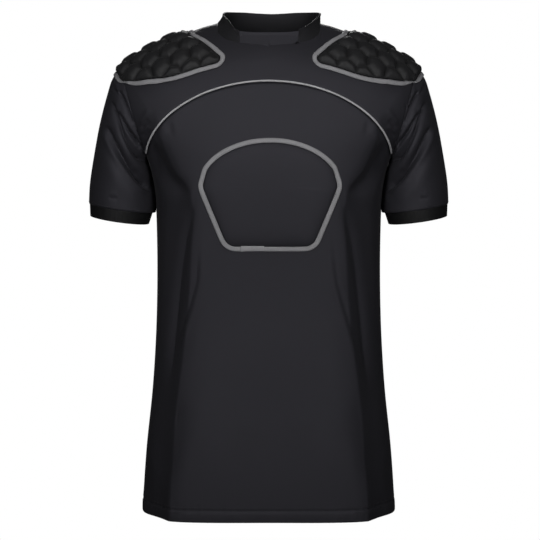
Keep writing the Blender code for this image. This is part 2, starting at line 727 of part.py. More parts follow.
def cell_sheet(outline, inset):
    """Six-sided cells over the front half of a pad, cut inside its outline and mirrored to the back half."""
    cage = bmesh.new()
    radius = CELL_PITCH / math.sqrt(3)
    row_height = CELL_PITCH * math.sqrt(3) / 2
    for row in range(-5, 1):
        for column in range(-2, 7):
            centre = Vector(((column + 0.5 * (row % 2)) * CELL_PITCH, row * row_height, 0.0))
            cell = bmesh.ops.create_circle(cage, cap_ends=True, segments=6, radius=radius)
            for vert in cell["verts"]:
                vert.co += centre
    bmesh.ops.remove_doubles(cage, verts=cage.verts[:], dist=CELL_MERGE)
    trim(cage, Vector((0.0, 0.0, 0.0)), Vector((0.0, 1.0, 0.0)))
    for station in outline:
        if station.place.y < 0 and station.aside.y <= 0:
            trim(cage, station.place - station.aside * inset, station.aside)
    inner_edge = (PAD_NECK_END, PAD_NECK_BEND, PAD_CORNERS[0])
    neck, bend, foot = [Vector((corner.along, -corner.across, 0.0)) for corner in inner_edge]
    geometry = cage.verts[:] + cage.edges[:] + cage.faces[:]
    bmesh.ops.bisect_plane(cage, geom=geometry, plane_co=bend, plane_no=Vector((0.0, 1.0, 0.0)))
    for start, end, nearest, farthest in ((neck, bend, 1.0, bend.y), (bend, foot, bend.y, -1.0)):
        run = (end - start).normalized()
        aside = Vector((run.y, -run.x, 0.0))
        trim(cage, start - aside * inset, aside, nearest, farthest)
    geometry = cage.verts[:] + cage.edges[:] + cage.faces[:]
    bmesh.ops.mirror(cage, geom=geometry, axis="Y", merge_dist=SAME_PLACE)
    bmesh.ops.remove_doubles(cage, verts=cage.verts[:], dist=CELL_MERGE)
    helper_lines = [edge for edge in cage.edges if len(edge.link_faces) == 2 and any(
        all(abs(abs(vert.co.y) - line) < CELL_MERGE for vert in edge.verts) for line in (0.0, -bend.y))]
    bmesh.ops.dissolve_edges(cage, edges=helper_lines, use_verts=False)
    for scrap in [face for face in cage.faces if face.calc_area() < SMALLEST_CELL]:
        shared = [edge for edge in scrap.edges if len(edge.link_faces) == 2]
        longest = max(shared, key=lambda edge: edge.calc_length())
        bmesh.ops.dissolve_edges(cage, edges=[longest], use_verts=False)
    bmesh.ops.recalc_face_normals(cage, faces=cage.faces[:])
    return cage


def make_shoulder_pad(name, sign, finishes):
    """Foam cells domed over a plain inside, with a thin edge where the tape holds the pad down."""
    outline = stations(pad_outline())
    tape_ring(name.replace("pad", "tape"), outline, lambda flat: on_shoulder(flat, sign, REST),
              finishes["grey tape"])
    cage = cell_sheet(outline, TAPE_WIDTH / 2 + 3 * SEAM)
    full_area = CELL_PITCH ** 2 * math.sqrt(3) / 2
    cells = cage.faces[:]
    under = bmesh.ops.extrude_face_region(cage, geom=cells, use_keep_orig=True)
    under_verts = {item for item in under["geom"] if isinstance(item, bmesh.types.BMVert)}
    under_faces = [item for item in under["geom"] if isinstance(item, bmesh.types.BMFace)]
    under_verts |= set(bmesh.ops.poke(cage, faces=under_faces)["verts"])
    for vert in cage.verts:
        if vert not in under_verts:
            at_edge = any(other in under_verts for edge in vert.link_edges for other in edge.verts)
            vert.co.z = PAD_EDGE_HEIGHT if at_edge else GROOVE_HEIGHT
    for cell in cells:
        fullness = min(1.0, cell.calc_area() / full_area) ** 0.5
        for ring in CELL_DOME:
            bmesh.ops.inset_individual(cage, faces=[cell], thickness=SAME_PLACE)
            middle = cell.calc_center_median()
            for vert in cell.verts:
                place = middle.lerp(vert.co, ring.scale)
                vert.co.x, vert.co.y = place.x, place.y
                vert.co.z = mix(GROOVE_HEIGHT, CELL_HEIGHT, ring.height * fullness)
    for vert in cage.verts:
        vert.co = on_shoulder(vert.co, sign, PAD_REST)
    to_object(name, cage, finishes["pad cloth"])


# Chest pad and piping: drawn in the front view and laid on the front panel

def on_front(flat):
    """A point drawn in the front view as x and height, with its lift over the cloth."""
    point = torso_skin(flat.x + CHEST_SHIFT, flat.y, FRONT)
    return point + torso_out(point) * (REST + flat.z)


def chest_outline():
    """Round over the top, straight sides that draw in to a narrower foot with rounded corners."""
    rise = CHEST_TOP_HEIGHT - CHEST_ARC_HEIGHT
    steps = 48
    corners = [(Vector((-CHEST_FOOT_HALF_WIDTH, CHEST_FOOT_HEIGHT, 0.0)), CHEST_FOOT_ROUND),
               (Vector((CHEST_FOOT_HALF_WIDTH, CHEST_FOOT_HEIGHT, 0.0)), CHEST_FOOT_ROUND)]
    for step in range(steps + 1):
        turn = math.pi * step / steps
        corner = Vector((CHEST_HALF_WIDTH * math.cos(turn), CHEST_ARC_HEIGHT + rise * math.sin(turn), 0.0))
        corners.append((corner, CHEST_SIDE_ROUND if step in (0, steps) else 0.0))
    corners = [c for c in corners if c[1] > 0 or c[0].y > CHEST_ARC_HEIGHT + CHEST_SIDE_ROUND]
    return stations(rounded_outline(corners, 12))


def make_chest_pad(finishes):
    outline = chest_outline()
    tape_ring("chest_tape", outline, on_front, finishes["grey tape"])
    edge = [station.place - station.aside * (TAPE_WIDTH / 2 + SEAM) for station in outline]
    count = len(edge)
    middle = Vector((0.0, CHEST_ARC_HEIGHT, 0.0))
    rings = len(CHEST_DOME) - 1

    def flat(u, v):
        ring = CHEST_DOME[round(v * rings)]
        place = middle.lerp(edge[round(u * count) % count], ring.scale)
        place.z = ring.height * CHEST_PAD_HEIGHT
        return place

    cage = bmesh.new()
    bmesh.ops.create_grid(cage, x_segments=count, y_segments=rings, size=1.0)
    heights = cage.verts.layers.float.new("height")
    for vert in cage.verts:
        vert.co = flat((vert.co.x + 1) / 2, (vert.co.y + 1) / 2)
        vert[heights] = vert.co.z
    bmesh.ops.remove_doubles(cage, verts=cage.verts[:], dist=SAME_PLACE)
    under = bmesh.ops.extrude_face_region(cage, geom=cage.faces[:], use_keep_orig=True)
    for item in under["geom"]:
        if isinstance(item, bmesh.types.BMVert):
            item.co.z -= item[heights]
    for vert in cage.verts:
        vert.co = on_front(vert.co)
    to_object("chest_pad", cage, finishes["knit"])


def make_piping(finishes):
    """Cord over the seam between yoke and front, stopped short of the armpits."""
    points = []
    for index in range(PIPING_POINTS):
        sign, u = mirrored(mix(0.5 - PIPING_REACH / 2, 0.5 + PIPING_REACH / 2, index / (PIPING_POINTS - 1)))
        x, z = arc_edge(u, 0.0)
        point = torso_skin(x, z, FRONT)
        points.append(to_side(point + torso_out(point) * (PIPING_RADIUS + REST), sign))
    curve = bpy.data.curves.new("chest_piping", "CURVE")
    curve.dimensions = "3D"
    curve.bevel_depth = PIPING_RADIUS
    curve.bevel_resolution = 1
    curve.use_fill_caps = True
    spline = curve.splines.new("POLY")
    spline.points.add(PIPING_POINTS - 1)
    for place, point in zip(spline.points, spaced(points, PIPING_POINTS, closed=False)):
        place.co = (*point, 1.0)
    add_object("chest_piping", curve, finishes["grey tape"])


def main():
    clear_scene()
    parts = bpy.data.collections.new("rugby_body_armour")
    bpy.context.scene.collection.children.link(parts)
    finishes = {name: make_finish(name) for name in FINISHES}
    make_body(finishes)
    make_collar(finishes)
    for label, sign in (("left", 1.0), ("right", -1.0)):
        make_sleeve("sleeve_" + label, sign, finishes)
        make_cuff("cuff_" + label, sign, finishes)
        make_shoulder_pad("shoulder_pad_" + label, sign, finishes)
    make_chest_pad(finishes)
    make_piping(finishes)


main()
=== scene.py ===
import json
import math

import bmesh
import bpy
import numpy as np
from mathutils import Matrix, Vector
from mathutils.bvhtree import BVHTree
from mathutils.kdtree import KDTree

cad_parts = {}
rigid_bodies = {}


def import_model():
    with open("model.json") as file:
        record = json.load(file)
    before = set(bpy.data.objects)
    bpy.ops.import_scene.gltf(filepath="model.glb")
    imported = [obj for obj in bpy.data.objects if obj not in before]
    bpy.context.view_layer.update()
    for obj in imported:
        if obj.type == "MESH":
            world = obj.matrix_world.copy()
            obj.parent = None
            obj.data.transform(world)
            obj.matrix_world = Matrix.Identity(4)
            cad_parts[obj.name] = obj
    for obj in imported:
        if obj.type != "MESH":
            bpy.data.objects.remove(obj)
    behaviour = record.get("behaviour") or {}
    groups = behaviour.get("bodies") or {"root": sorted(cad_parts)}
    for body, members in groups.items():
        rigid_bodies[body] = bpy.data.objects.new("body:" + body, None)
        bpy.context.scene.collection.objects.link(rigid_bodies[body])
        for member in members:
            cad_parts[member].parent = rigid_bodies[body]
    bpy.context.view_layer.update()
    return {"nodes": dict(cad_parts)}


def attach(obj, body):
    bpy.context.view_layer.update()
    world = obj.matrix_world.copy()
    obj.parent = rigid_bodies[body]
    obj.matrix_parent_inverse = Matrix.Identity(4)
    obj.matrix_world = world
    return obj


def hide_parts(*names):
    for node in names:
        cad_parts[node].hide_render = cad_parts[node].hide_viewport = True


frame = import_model()
sides = (("left", 1), ("right", -1))


class Wire:                                     # one shader value, with sums written as in Python
    def __init__(self, tree, socket=None):
        self.tree, self.socket = tree, socket

    def node(self, kind, settings=None, values=None, out=0):
        made = self.tree.nodes.new(kind)
        for name, value in (settings or {}).items():
            setattr(made, name, value)
        for name, value in (values or {}).items():
            if isinstance(value, Wire):
                self.tree.links.new(value.socket, made.inputs[name])
            else:
                made.inputs[name].default_value = value
        return Wire(self.tree, made.outputs[out])

    def sum(self, operation, first, second=None):
        values = {0: first} if second is None else {0: first, 1: second}
        return self.node("ShaderNodeMath", {"operation": operation}, values)

    def __add__(self, other):
        return self.sum("ADD", self, other)

    def __sub__(self, other):
        return self.sum("SUBTRACT", self, other)

    def __rsub__(self, other):
        return self.sum("SUBTRACT", other, self)

    def __mul__(self, other):
        return self.sum("MULTIPLY", self, other)

    def __truediv__(self, other):
        return self.sum("DIVIDE", self, other)

    __radd__, __rmul__ = __add__, __mul__

    def tint(self, dark, light):                # colour between two by this value
        values = {0: self, 6: (*dark, 1), 7: (*light, 1)}
        return self.node("ShaderNodeMix", {"data_type": "RGBA"}, values, 2)


def newFinish(name, fixed):
    finish = bpy.data.materials.new(name)
    finish.use_nodes = True
    shader = finish.node_tree.nodes["Principled BSDF"]
    for socket, value in fixed.items():
        shader.inputs[socket].default_value = value
    return finish, shader, Wire(finish.node_tree)


def plug(wire, shader, socket):
    wire.tree.links.new(wire.socket, shader.inputs[socket])


def clothGrid(wire, across, along):             # the cloth's own place, counted in stitches
    place = wire.node("ShaderNodeUVMap", {"uv_map": "cloth"})
    parts = {0: place}
    u = wire.node("ShaderNodeSeparateXYZ", None, parts, 0) / across
    v = wire.node("ShaderNodeSeparateXYZ", None, parts, 1) / along
    return u, v


def wave(value):                                # 0 to 1 and back for each whole step
    return value.sum("SINE", value * (2 * math.pi)) * 0.5 + 0.5


def mottle(wire, scale, detail=3.0):
    place = wire.node("ShaderNodeTexCoord", None, None, 3)
    return wire.node("ShaderNodeTexNoise", None, {"Vector": place, "Scale": scale, "Detail": detail})


def knitFinish(name, look):
    finish, shader, wire = newFinish(name, {"Specular IOR Level": look["gloss"], "Sheen Weight": look["fuzz"],
                                            "Sheen Roughness": 0.5, "Specular Tint": (0.90, 0.88, 1.0, 1)})
    u, v = clothGrid(wire, look["wale"], look["course"])
    rib = wave(u)
    loop = wave(v + rib * 0.35)                 # rows of loops lean along each wale
    height = rib * 0.6 + loop * 0.4
    cloudy = mottle(wire, look["cloud"])
    plug((cloudy * 0.7 + height * 0.3).tint(look["dark"], look["light"]), shader, "Base Color")
    plug(cloudy * 0.10 + height * 0.06 + (look["rough"] - 0.08), shader, "Roughness")
    bump = wire.node("ShaderNodeBump", None, {"Strength": look["relief"], "Distance": 0.0003, "Height": height})
    plug(bump, shader, "Normal")
    return finish


knit = knitFinish("stretchKnit", {"wale": 0.0009, "course": 0.0007, "cloud": 9.0, "rough": 0.68, "gloss": 0.42,
                                  "fuzz": 0.02, "relief": 0.16, "dark": (0.0102, 0.0100, 0.0124),
                                  "light": (0.0146, 0.0143, 0.0176)})
# the collar band's knit, coarser than the body's, with darker colours as painted shade for the collar's shaded sides
# and inside
shadedCollarKnit = knitFinish("shadedCollarKnit", {"wale": 0.0011, "course": 0.0009, "cloud": 14.0, "rough": 0.72,
                                       "gloss": 0.30, "fuzz": 0.02, "relief": 0.20,
                                       "dark": (0.0060, 0.0060, 0.0064), "light": (0.0088, 0.0088, 0.0092)})


def elasticFinish():
    look = {"rib": 0.0016, "row": 0.0011, "dark": (0.0030, 0.0030, 0.0034), "light": (0.0080, 0.0080, 0.0086)}
    finish, shader, wire = newFinish("cuffElastic", {"Roughness": 0.62, "Specular IOR Level": 0.28})
    u, v = clothGrid(wire, look["rib"], look["row"])
    height = wave(u) * 0.7 + wave(v) * 0.3
    plug((height * 0.7 + mottle(wire, 30.0) * 0.3).tint(look["dark"], look["light"]), shader, "Base Color")
    bump = wire.node("ShaderNodeBump", None, {"Strength": 0.45, "Distance": 0.0004, "Height": height})
    plug(bump, shader, "Normal")
    return finish


def padFinish():
    look = {"grain": 900.0, "dark": (0.0022, 0.0022, 0.0025), "light": (0.0098, 0.0097, 0.0108)}
    finish, shader, wire = newFinish("padCloth", {"Specular IOR Level": 0.36, "Sheen Weight": 0.02})
    grain = mottle(wire, look["grain"], 2.0)
    # the grooves between the cells take the dark colour: painted shade in the grooves, with a random mottle over the
    # cells
    valley = wire.node("ShaderNodeAttribute", {"attribute_name": "valley"}, None, 2)
    grooveShadeAndMottle = (1 - valley) * 0.75 + mottle(wire, 22.0) * 0.25
    plug(grooveShadeAndMottle.tint(look["dark"], look["light"]), shader, "Base Color")
    plug(0.60 + grain * 0.08 + valley * 0.12, shader, "Roughness")
    bump = wire.node("ShaderNodeBump", None, {"Strength": 0.12, "Distance": 0.0003, "Height": grain})
    plug(bump, shader, "Normal")
    return finish


def tapeFinish(name, dark, light):
    look = {"across": 0.0009, "along": 0.0012, "dark": dark, "light": light}
    finish, shader, wire = newFinish(name, {"Specular IOR Level": 0.35})
    u, v = clothGrid(wire, look["along"], look["across"])
    weave = wave(u + v) * 0.5 + wave(u - v) * 0.5
    cloudy = mottle(wire, 160.0)
    plug((weave * 0.35 + cloudy * 0.65).tint(look["dark"], look["light"]), shader, "Base Color")
    plug(0.50 + cloudy * 0.15, shader, "Roughness")
    bump = wire.node("ShaderNodeBump", None, {"Strength": 0.3, "Distance": 0.0003, "Height": weave})
    plug(bump, shader, "Normal")
    return finish


def threadFinish(name, dark, light):
    finish, shader, wire = newFinish(name, {"Roughness": 0.55, "Specular IOR Level": 0.4})
    plug(mottle(wire, 1200.0).tint(dark, light), shader, "Base Color")
    return finish


cuffElastic = elasticFinish()
padCloth = padFinish()
greyTape = tapeFinish("greyTape", (0.190, 0.188, 0.197), (0.300, 0.297, 0.308))
pipingCord = tapeFinish("pipingCord", (0.34, 0.337, 0.348), (0.46, 0.457, 0.468))
darkThread = threadFinish("darkThread", (0.016, 0.016, 0.018), (0.030, 0.030, 0.033))
greyThread = threadFinish("greyThread", (0.10, 0.10, 0.105), (0.17, 0.17, 0.175))
print("finishes made")


def makeActive(piece):
    if bpy.context.object and bpy.context.object.mode != "OBJECT":
        bpy.ops.object.mode_set(mode="OBJECT")
    bpy.ops.object.select_all(action="DESELECT")
    piece.select_set(True)
    bpy.context.view_layer.objects.active = piece


def applyAll(piece):
    makeActive(piece)
    for change in list(piece.modifiers):
        bpy.ops.object.modifier_apply(modifier=change.name)


def copyNode(node, name):                       # the solid's form, with its own merged mesh
    piece = frame["nodes"][node].copy()
    piece.data = piece.data.copy()
    piece.name = piece.data.name = name
    for key in list(piece.keys()):
        del piece[key]
    piece.parent = None
    piece.data.materials.clear()
    bpy.context.scene.collection.objects.link(piece)
    makeActive(piece)
    bpy.ops.mesh.customdata_custom_splitnormals_clear()
    bpy.ops.object.mode_set(mode="EDIT")
    bpy.ops.mesh.select_mode(type="FACE")
    bpy.ops.mesh.select_all(action="SELECT")
    bpy.ops.mesh.remove_doubles(threshold=0.00002)
    return piece                                # still in edit mode


def toQuads():
    bpy.ops.mesh.select_all(action="SELECT")
    bpy.ops.mesh.tris_convert_to_quads(face_threshold=math.radians(70), shape_threshold=math.radians(178))


def keepOuterWall(piece, towards, wall=0.0022): # the rims are cut away, and the wall that faces out is kept
    cage = bmesh.from_edit_mesh(piece.data)
    bpy.ops.mesh.select_all(action="DESELECT")
    for face in cage.faces:
        face.select = min(edge.calc_length() for edge in face.edges) < wall
    bmesh.update_edit_mesh(piece.data)
    bpy.ops.mesh.delete(type="FACE")
    cage = bmesh.from_edit_mesh(piece.data)
    way = Vector(towards)
    facing = [face for face in cage.faces if face.normal.dot(way) > 0.6]
    seed = max(facing, key=lambda face: face.calc_center_median().dot(way))
    seed.select = True
    cage.faces.active = seed
    bmesh.update_edit_mesh(piece.data)
    bpy.ops.mesh.select_linked()
    bpy.ops.mesh.select_all(action="INVERT")
    bpy.ops.mesh.delete(type="FACE")
    toQuads()
    bpy.ops.object.mode_set(mode="OBJECT")


def rounder(piece, levels):
    smooth = piece.modifiers.new("rounder", "SUBSURF")
    smooth.levels = smooth.render_levels = levels
    smooth.boundary_smooth = "PRESERVE_CORNERS"
    applyAll(piece)


def clothFrom(node, name, towards, levels=3):
    piece = copyNode(node, name)
    keepOuterWall(piece, towards)
    quads = sum(len(face.vertices) == 4 for face in piece.data.polygons)
    print(name, "cage", len(piece.data.polygons), "faces,", quads, "quads")
    rounder(piece, levels)
    return piece


def getPoints(piece):
    flat = np.empty(len(piece.data.vertices) * 3)
    piece.data.vertices.foreach_get("co", flat)
    return flat.reshape(-1, 3)


def setPoints(piece, spots):
    piece.data.vertices.foreach_set("co", spots.ravel())
    piece.data.update()


def getNormals(piece):
    flat = np.empty(len(piece.data.vertices) * 3)
    piece.data.vertices.foreach_get("normal", flat)
    return flat.reshape(-1, 3)


def edgeSpots(piece, step=0.0004):              # points all along the open edges, and which vertices lie there
    count = {}
    for face in piece.data.polygons:
        for key in face.edge_keys:
            count[key] = count.get(key, 0) + 1
    rim = [key for key, uses in count.items() if uses == 1]
    co = getPoints(piece)
    spots = []
    for a, b in rim:
        steps = max(1, int(np.linalg.norm(co[b] - co[a]) / step))
        spots += [co[a] + (co[b] - co[a]) * i / steps for i in range(steps)]
    return np.array(spots), sorted({index for key in rim for index in key})


def treeOf(spots):
    tree = KDTree(len(spots))
    for index, spot in enumerate(spots):
        tree.insert(spot, index)
    tree.balance()
    return tree


def edgeTree(pieces):
    return treeOf(np.concatenate([edgeSpots(piece)[0] for piece in pieces]))


seams = {                                       # how far an edge reaches for the next one, and how far back that pulls
    "neckCorner": (0.010, 0.010), "bodySides": (0.004, 0.012), "shoulderEnd": (0.010, 0.008),
    "sleeve": (0.010, 0.020), "backArmhole": (0.010, 0.012), "yokeArmhole": (0.008, 0.010),
    "frontTop": (0.006, 0.010), "collar": (0.0060, 0.012),
}


def sew(piece, others, seam, where=None):       # draws open edges onto the edges of the panels they are sewn to
    reach, blend = seams[seam]
    tree = edgeTree(others)
    co = getPoints(piece)
    pulls, homes = [], []
    for index in edgeSpots(piece)[1]:
        spot, _, gap = tree.find(co[index])
        if gap < reach and (where is None or where(co[index])):
            homes.append(co[index].copy())
            pulls.append(np.array(spot) - co[index])
    homeTree = treeOf(homes)
    for index in range(len(co)):
        _, nearest, gap = homeTree.find(co[index])
        if gap < blend:
            co[index] += pulls[nearest] * (1 - gap / blend) ** 2
    setPoints(piece, co)


def rollEdges(piece, depth, width, where):      # cloth turns in where it is sewn
    spots = edgeSpots(piece, 0.001)[0]
    tree = treeOf(spots[where(spots)])
    co, out = getPoints(piece), getNormals(piece)
    gaps = np.array([tree.find(spot)[2] for spot in co])
    turn = np.clip(1 - gaps / width, 0, 1) ** 2
    setPoints(piece, co - out * (depth * turn)[:, None])


def alongLine(flat, line):                      # distance aside of a drawn line, and share of its length
    line = np.array(line)
    runs = line[1:] - line[:-1]
    lengths = np.linalg.norm(runs, axis=1)
    starts = np.concatenate([[0], np.cumsum(lengths)])
    best = np.full(len(flat), 9.0)
    aside, share = np.zeros(len(flat)), np.zeros(len(flat))
    for start, run, length, before in zip(line, runs, lengths, starts):
        off = flat - start
        t = np.clip(off @ run / length ** 2, 0, 1)
        gap = np.linalg.norm(off - t[:, None] * run, axis=1)
        near = gap < best
        best[near] = gap[near]
        aside[near] = (np.sign(off @ np.array([run[1], -run[0]])) * gap)[near]
        share[near] = ((before + t * length) / starts[-1])[near]
    return aside, share


foldShape = {"hold": 0.004, "facing": 2.4, "turned": 0.15, "bankAt": 2.1, "bankWidth": 1.5}


def crease(piece, folds, facing):               # folds drawn in the front view, the same on both sides
    co, out = getPoints(piece), getNormals(piece)
    tree = treeOf(edgeSpots(piece, 0.001)[0])
    sewn = np.clip([tree.find(spot)[2] / foldShape["hold"] for spot in co], 0, 1)
    seen = np.clip(facing * out[:, 1] * foldShape["facing"] - foldShape["turned"], 0, 1) * sewn
    flat = np.stack([np.abs(co[:, 0]), co[:, 2]], axis=1)
    move = np.zeros(len(co))
    for fold in folds:
        aside, share = alongLine(flat, fold["line"])
        here = co[:, 0] * fold.get("on", 0) >= 0    # some folds lie on one side alone
        ends = np.clip(np.minimum(share, 1 - share) / fold.get("fade", 0.3), 0, 1)
        ends = ends * ends * (3 - 2 * ends)
        width = fold["width"]
        valley = np.exp(-np.abs(aside / width) ** fold.get("round", 1.4))
        beyond = aside - fold.get("side", 1) * foldShape["bankAt"] * width
        bank = np.exp(-(beyond / (foldShape["bankWidth"] * width)) ** 2)
        move += here * ends * (fold.get("bank", 0.5) * bank - valley) * fold["depth"]
    setPoints(piece, co + out * (move * seen)[:, None])


fillOut = {                                     # level, half width of the flat sheet, how far its edge comes out
    "edge": [(-0.105, 0.155, 0.0), (-0.140, 0.148, 0.0035), (-0.165, 0.143, 0.0065), (-0.197, 0.130, 0.0090),
             (-0.225, 0.107, 0.0092), (-0.252, 0.102, 0.0095), (-0.321, 0.106, 0.0112), (-0.375, 0.109, 0.0122),
             (-0.430, 0.114, 0.0135), (-0.485, 0.122, 0.0152), (-0.540, 0.129, 0.0170), (-0.595, 0.133, 0.0182),
             (-0.643, 0.136, 0.0186), (-0.680, 0.137, 0.0186)],
    "span": 0.038, "drop": 2.2, "soften": 0.3, "sink": 0.22, "from": 0.02, "over": 0.05,
}


def flattened(co):                              # the front hangs as a flat sheet between two soft edges
    x, z = np.abs(co[:, 0]), co[:, 2]
    levels, edges, pushes = np.array(fillOut["edge"][::-1]).T
    edge, push = np.interp(z, levels, edges), np.interp(z, levels, pushes)
    past = np.clip((x - edge) / fillOut["span"], 0, 1)
    inside, outside = (x / edge) ** 2, (1 - past) ** fillOut["drop"]
    near = np.clip(1 - np.abs(inside - outside) / fillOut["soften"], 0, 1)
    swell = np.minimum(inside, outside) - near * near * fillOut["soften"] / 4
    swell -= fillOut["sink"] * 4 * past * (1 - past)
    ahead = np.clip((-co[:, 1] - fillOut["from"]) / fillOut["over"], 0, 1)
    co[:, 1] -= push * swell * ahead
    return co


def flattenFront(piece):
    setPoints(piece, flattened(getPoints(piece)))


def tuckEdges(piece, reach, sink, where, steep=2):  # a seam allowance that lies behind the next panel
    cage = bmesh.new()
    cage.from_mesh(piece.data)
    cage.normal_update()
    rim = [edge for edge in cage.edges if edge.is_boundary and all(where(vert.co) for vert in edge.verts)
           and abs(edge.verts[0].co.z - edge.verts[1].co.z) < steep * edge.calc_length()]
    sewn = {vert for edge in rim for vert in edge.verts}
    moves = {}
    for vert in sewn:
        inner = [edge.other_vert(vert).co for edge in vert.link_edges if edge.other_vert(vert) not in sewn]
        if inner:
            away = vert.co - sum(inner, Vector()) / len(inner)
            moves[vert] = away.normalized() * reach - vert.normal * sink
    made = bmesh.ops.extrude_edge_only(cage, edges=rim)["geom"]
    for vert in made:
        if isinstance(vert, bmesh.types.BMVert):
            old = next(edge.other_vert(vert) for edge in vert.link_edges if edge.other_vert(vert) in sewn)
            vert.co += moves.get(old, -old.normal * sink)
    cage.to_mesh(piece.data)
    cage.free()


def wrapUv(piece, low, high, radius, seamAt):   # the cloth's own grid in metres: round an axis, and along it
    low, high = np.array(low), np.array(high)
    axis = (high - low) / np.linalg.norm(high - low)
    ahead = np.array(seamAt, float)
    ahead -= axis * (ahead @ axis)
    ahead /= np.linalg.norm(ahead)
    aside = np.cross(axis, ahead)
    off = getPoints(piece) - low
    turn = np.arctan2(off @ aside, -(off @ ahead))
    along = off @ axis
    layers = piece.data.uv_layers
    if "cloth" not in layers:
        layers.new(name="cloth")
    for other in [item.name for item in layers if item.name != "cloth"]:
        layers.remove(layers[other])
    layer = layers["cloth"]
    for face in piece.data.polygons:
        turns = turn[list(face.vertices)]
        if turns.max() - turns.min() > math.pi:
            turns = np.where(turns < 0, turns + 2 * math.pi, turns)
        for loop, angle, vertex in zip(face.loop_indices, turns, face.vertices):
            layer.data[loop].uv = (angle * radius, along[vertex])


def finishPiece(piece, finish, node):
    piece.data.materials.clear()
    piece.data.materials.append(finish)
    makeActive(piece)
    bpy.ops.object.shade_smooth()
    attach(piece, "root")
    if node:
        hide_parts(node)


def thicken(piece, wall):
    makeActive(piece)
    bpy.ops.object.mode_set(mode="EDIT")
    bpy.ops.mesh.select_all(action="SELECT")
    bpy.ops.mesh.remove_doubles(threshold=0.00002)
    bpy.ops.mesh.dissolve_degenerate(threshold=0.00002)
    bpy.ops.object.mode_set(mode="OBJECT")
    shell = piece.modifiers.new("wall", "SOLIDIFY")
    shell.thickness, shell.offset = wall, -1.0
    shell.use_even_offset = False
    applyAll(piece)


hemFold = {"level": -0.680, "depth": 0.0165, "groove": 0.0006, "grooveWidth": 0.0013, "swell": 0.0005, "below": -0.002,
           "pucker": 0.00035, "puckerWidth": 0.010, "rows": (0.0, 0.0042), "steps": 240,
           "cuts": (0.012, 0.006, 0.003, 0.0013, 0, -0.0013, -0.003, -0.006, -0.0155)}


def stitchHem(piece):                           # the hem is turned up and sewn: a groove and small puckers
    makeActive(piece)
    bpy.ops.object.mode_set(mode="EDIT")
    line = hemFold["level"] + hemFold["depth"]
    for lift in hemFold["cuts"]:
        bpy.ops.mesh.select_all(action="SELECT")
        bpy.ops.mesh.bisect(plane_co=(0, 0, line + lift), plane_no=(0, 0, 1))
    bpy.ops.object.mode_set(mode="OBJECT")
    co, out = getPoints(piece), getNormals(piece)
    off = co[:, 2] - line
    turn = np.arctan2(co[:, 0], -co[:, 1])
    ripple = np.sin(turn * 74 + 2 * np.sin(turn * 9)) * np.cos(turn * 31)
    move = -hemFold["groove"] * np.exp(-(off / hemFold["grooveWidth"]) ** 2)
    move += hemFold["swell"] * (off < hemFold["below"])
    move += hemFold["pucker"] * ripple * np.exp(-(off / hemFold["puckerWidth"]) ** 2)
    setPoints(piece, co + out * move[:, None])


bodyWrap = {"low": (0, 0, -0.7), "high": (0, 0, 0), "radius": 0.15}

frontPanel = {
    "wall": 0.0012, "flat": (0.470, 0.615), "area": 0.262,
    "folds": [
        {"line": [(0.163, -0.158), (0.150, -0.186), (0.132, -0.213), (0.104, -0.233)], "width": 0.010,
         "depth": 0.0050, "side": -1, "bank": 0.4, "fade": 0.25},
        {"line": [(0.165, -0.145), (0.158, -0.180), (0.154, -0.215)], "width": 0.008, "depth": 0.0040, "bank": 0.0},
        {"line": [(0.0985, -0.228), (0.104, -0.255), (0.113, -0.290), (0.120, -0.335), (0.126, -0.390),
                  (0.131, -0.440), (0.139, -0.510)], "width": 0.0050, "depth": 0.0034, "side": -1, "bank": 0.2,
         "fade": 0.2},
        {"line": [(0.0945, -0.297), (0.0987, -0.350), (0.1085, -0.385), (0.1245, -0.434), (0.1317, -0.458)],
         "width": 0.0030, "depth": 0.0014, "bank": 0.9, "on": -1},
        {"line": [(0.0854, -0.283), (0.0940, -0.350), (0.1080, -0.399), (0.1190, -0.434), (0.1290, -0.469)],
         "width": 0.0030, "depth": 0.0014, "bank": 0.9, "on": 1},
        {"line": [(0.1465, -0.1326), (0.1506, -0.145), (0.156, -0.1577)], "width": 0.0030, "depth": 0.0026,
         "bank": 0.5},
        {"line": [(0.132, -0.130), (0.134, -0.150)], "width": 0.003, "depth": 0.0010},
        {"line": [(0.120, -0.500), (0.142, -0.640)], "width": 0.010, "depth": 0.0016, "side": -1},
        {"line": [(0.062, -0.380), (0.075, -0.600)], "width": 0.016, "depth": 0.0010, "side": 1, "bank": 0.8},
        {"line": [(0.165, -0.600), (0.172, -0.665)], "width": 0.006, "depth": 0.0016},
    ],
}
front = clothFrom("front_panel", "lowerFront", (0, -1, 0))
yoke = clothFrom("yoke", "yokePanel", (0, -1, 0))
back = clothFrom("back_panel", "backPanel", (0, 1, 0))

neckEase = {"side": 0.083, "sharp": 6, "inward": 0.0112, "rise": 0.0062, "blend": 0.036, "band": 0.019, "fall": 2.4,
            "least": 0.001, "near": 0.004, "seam": 0.003, "beside": 0.055, "above": -0.030}


def easeNeck(piece, neckline, onBand):          # at the sides the cloth climbs the neck, under the collar
    tree = treeOf(neckline)
    co = getPoints(piece)
    for index in range(len(co)):
        spot, _, gap = tree.find(co[index])
        beside = min(abs(spot[0]) / neckEase["side"], 1) ** neckEase["sharp"]
        if onBand:
            share = max(0, 1 - max(0, co[index][2] - spot[2]) / neckEase["band"]) ** neckEase["fall"]
        else:
            share = max(0, 1 - gap / neckEase["blend"])
            share = share * share * (3 - 2 * share)
        if beside * share > neckEase["least"]:
            co[index][0] -= math.copysign(neckEase["inward"], spot[0]) * beside * share
            co[index][2] += neckEase["rise"] * beside * share
    setPoints(piece, co)


collarFront = clothFrom("collar_front", "collarFront", (0, -1, 0))
collarBand = clothFrom("collar_band", "collarBand", (0, 1, 0))


def findNeckline():                             # the body's edges that run along the collar
    collarTree = edgeTree((collarFront, collarBand))
    spots = np.concatenate([edgeSpots(piece)[0] for piece in (yoke, back)])
    return np.array([spot for spot in spots if collarTree.find(spot)[2] < neckEase["near"]])


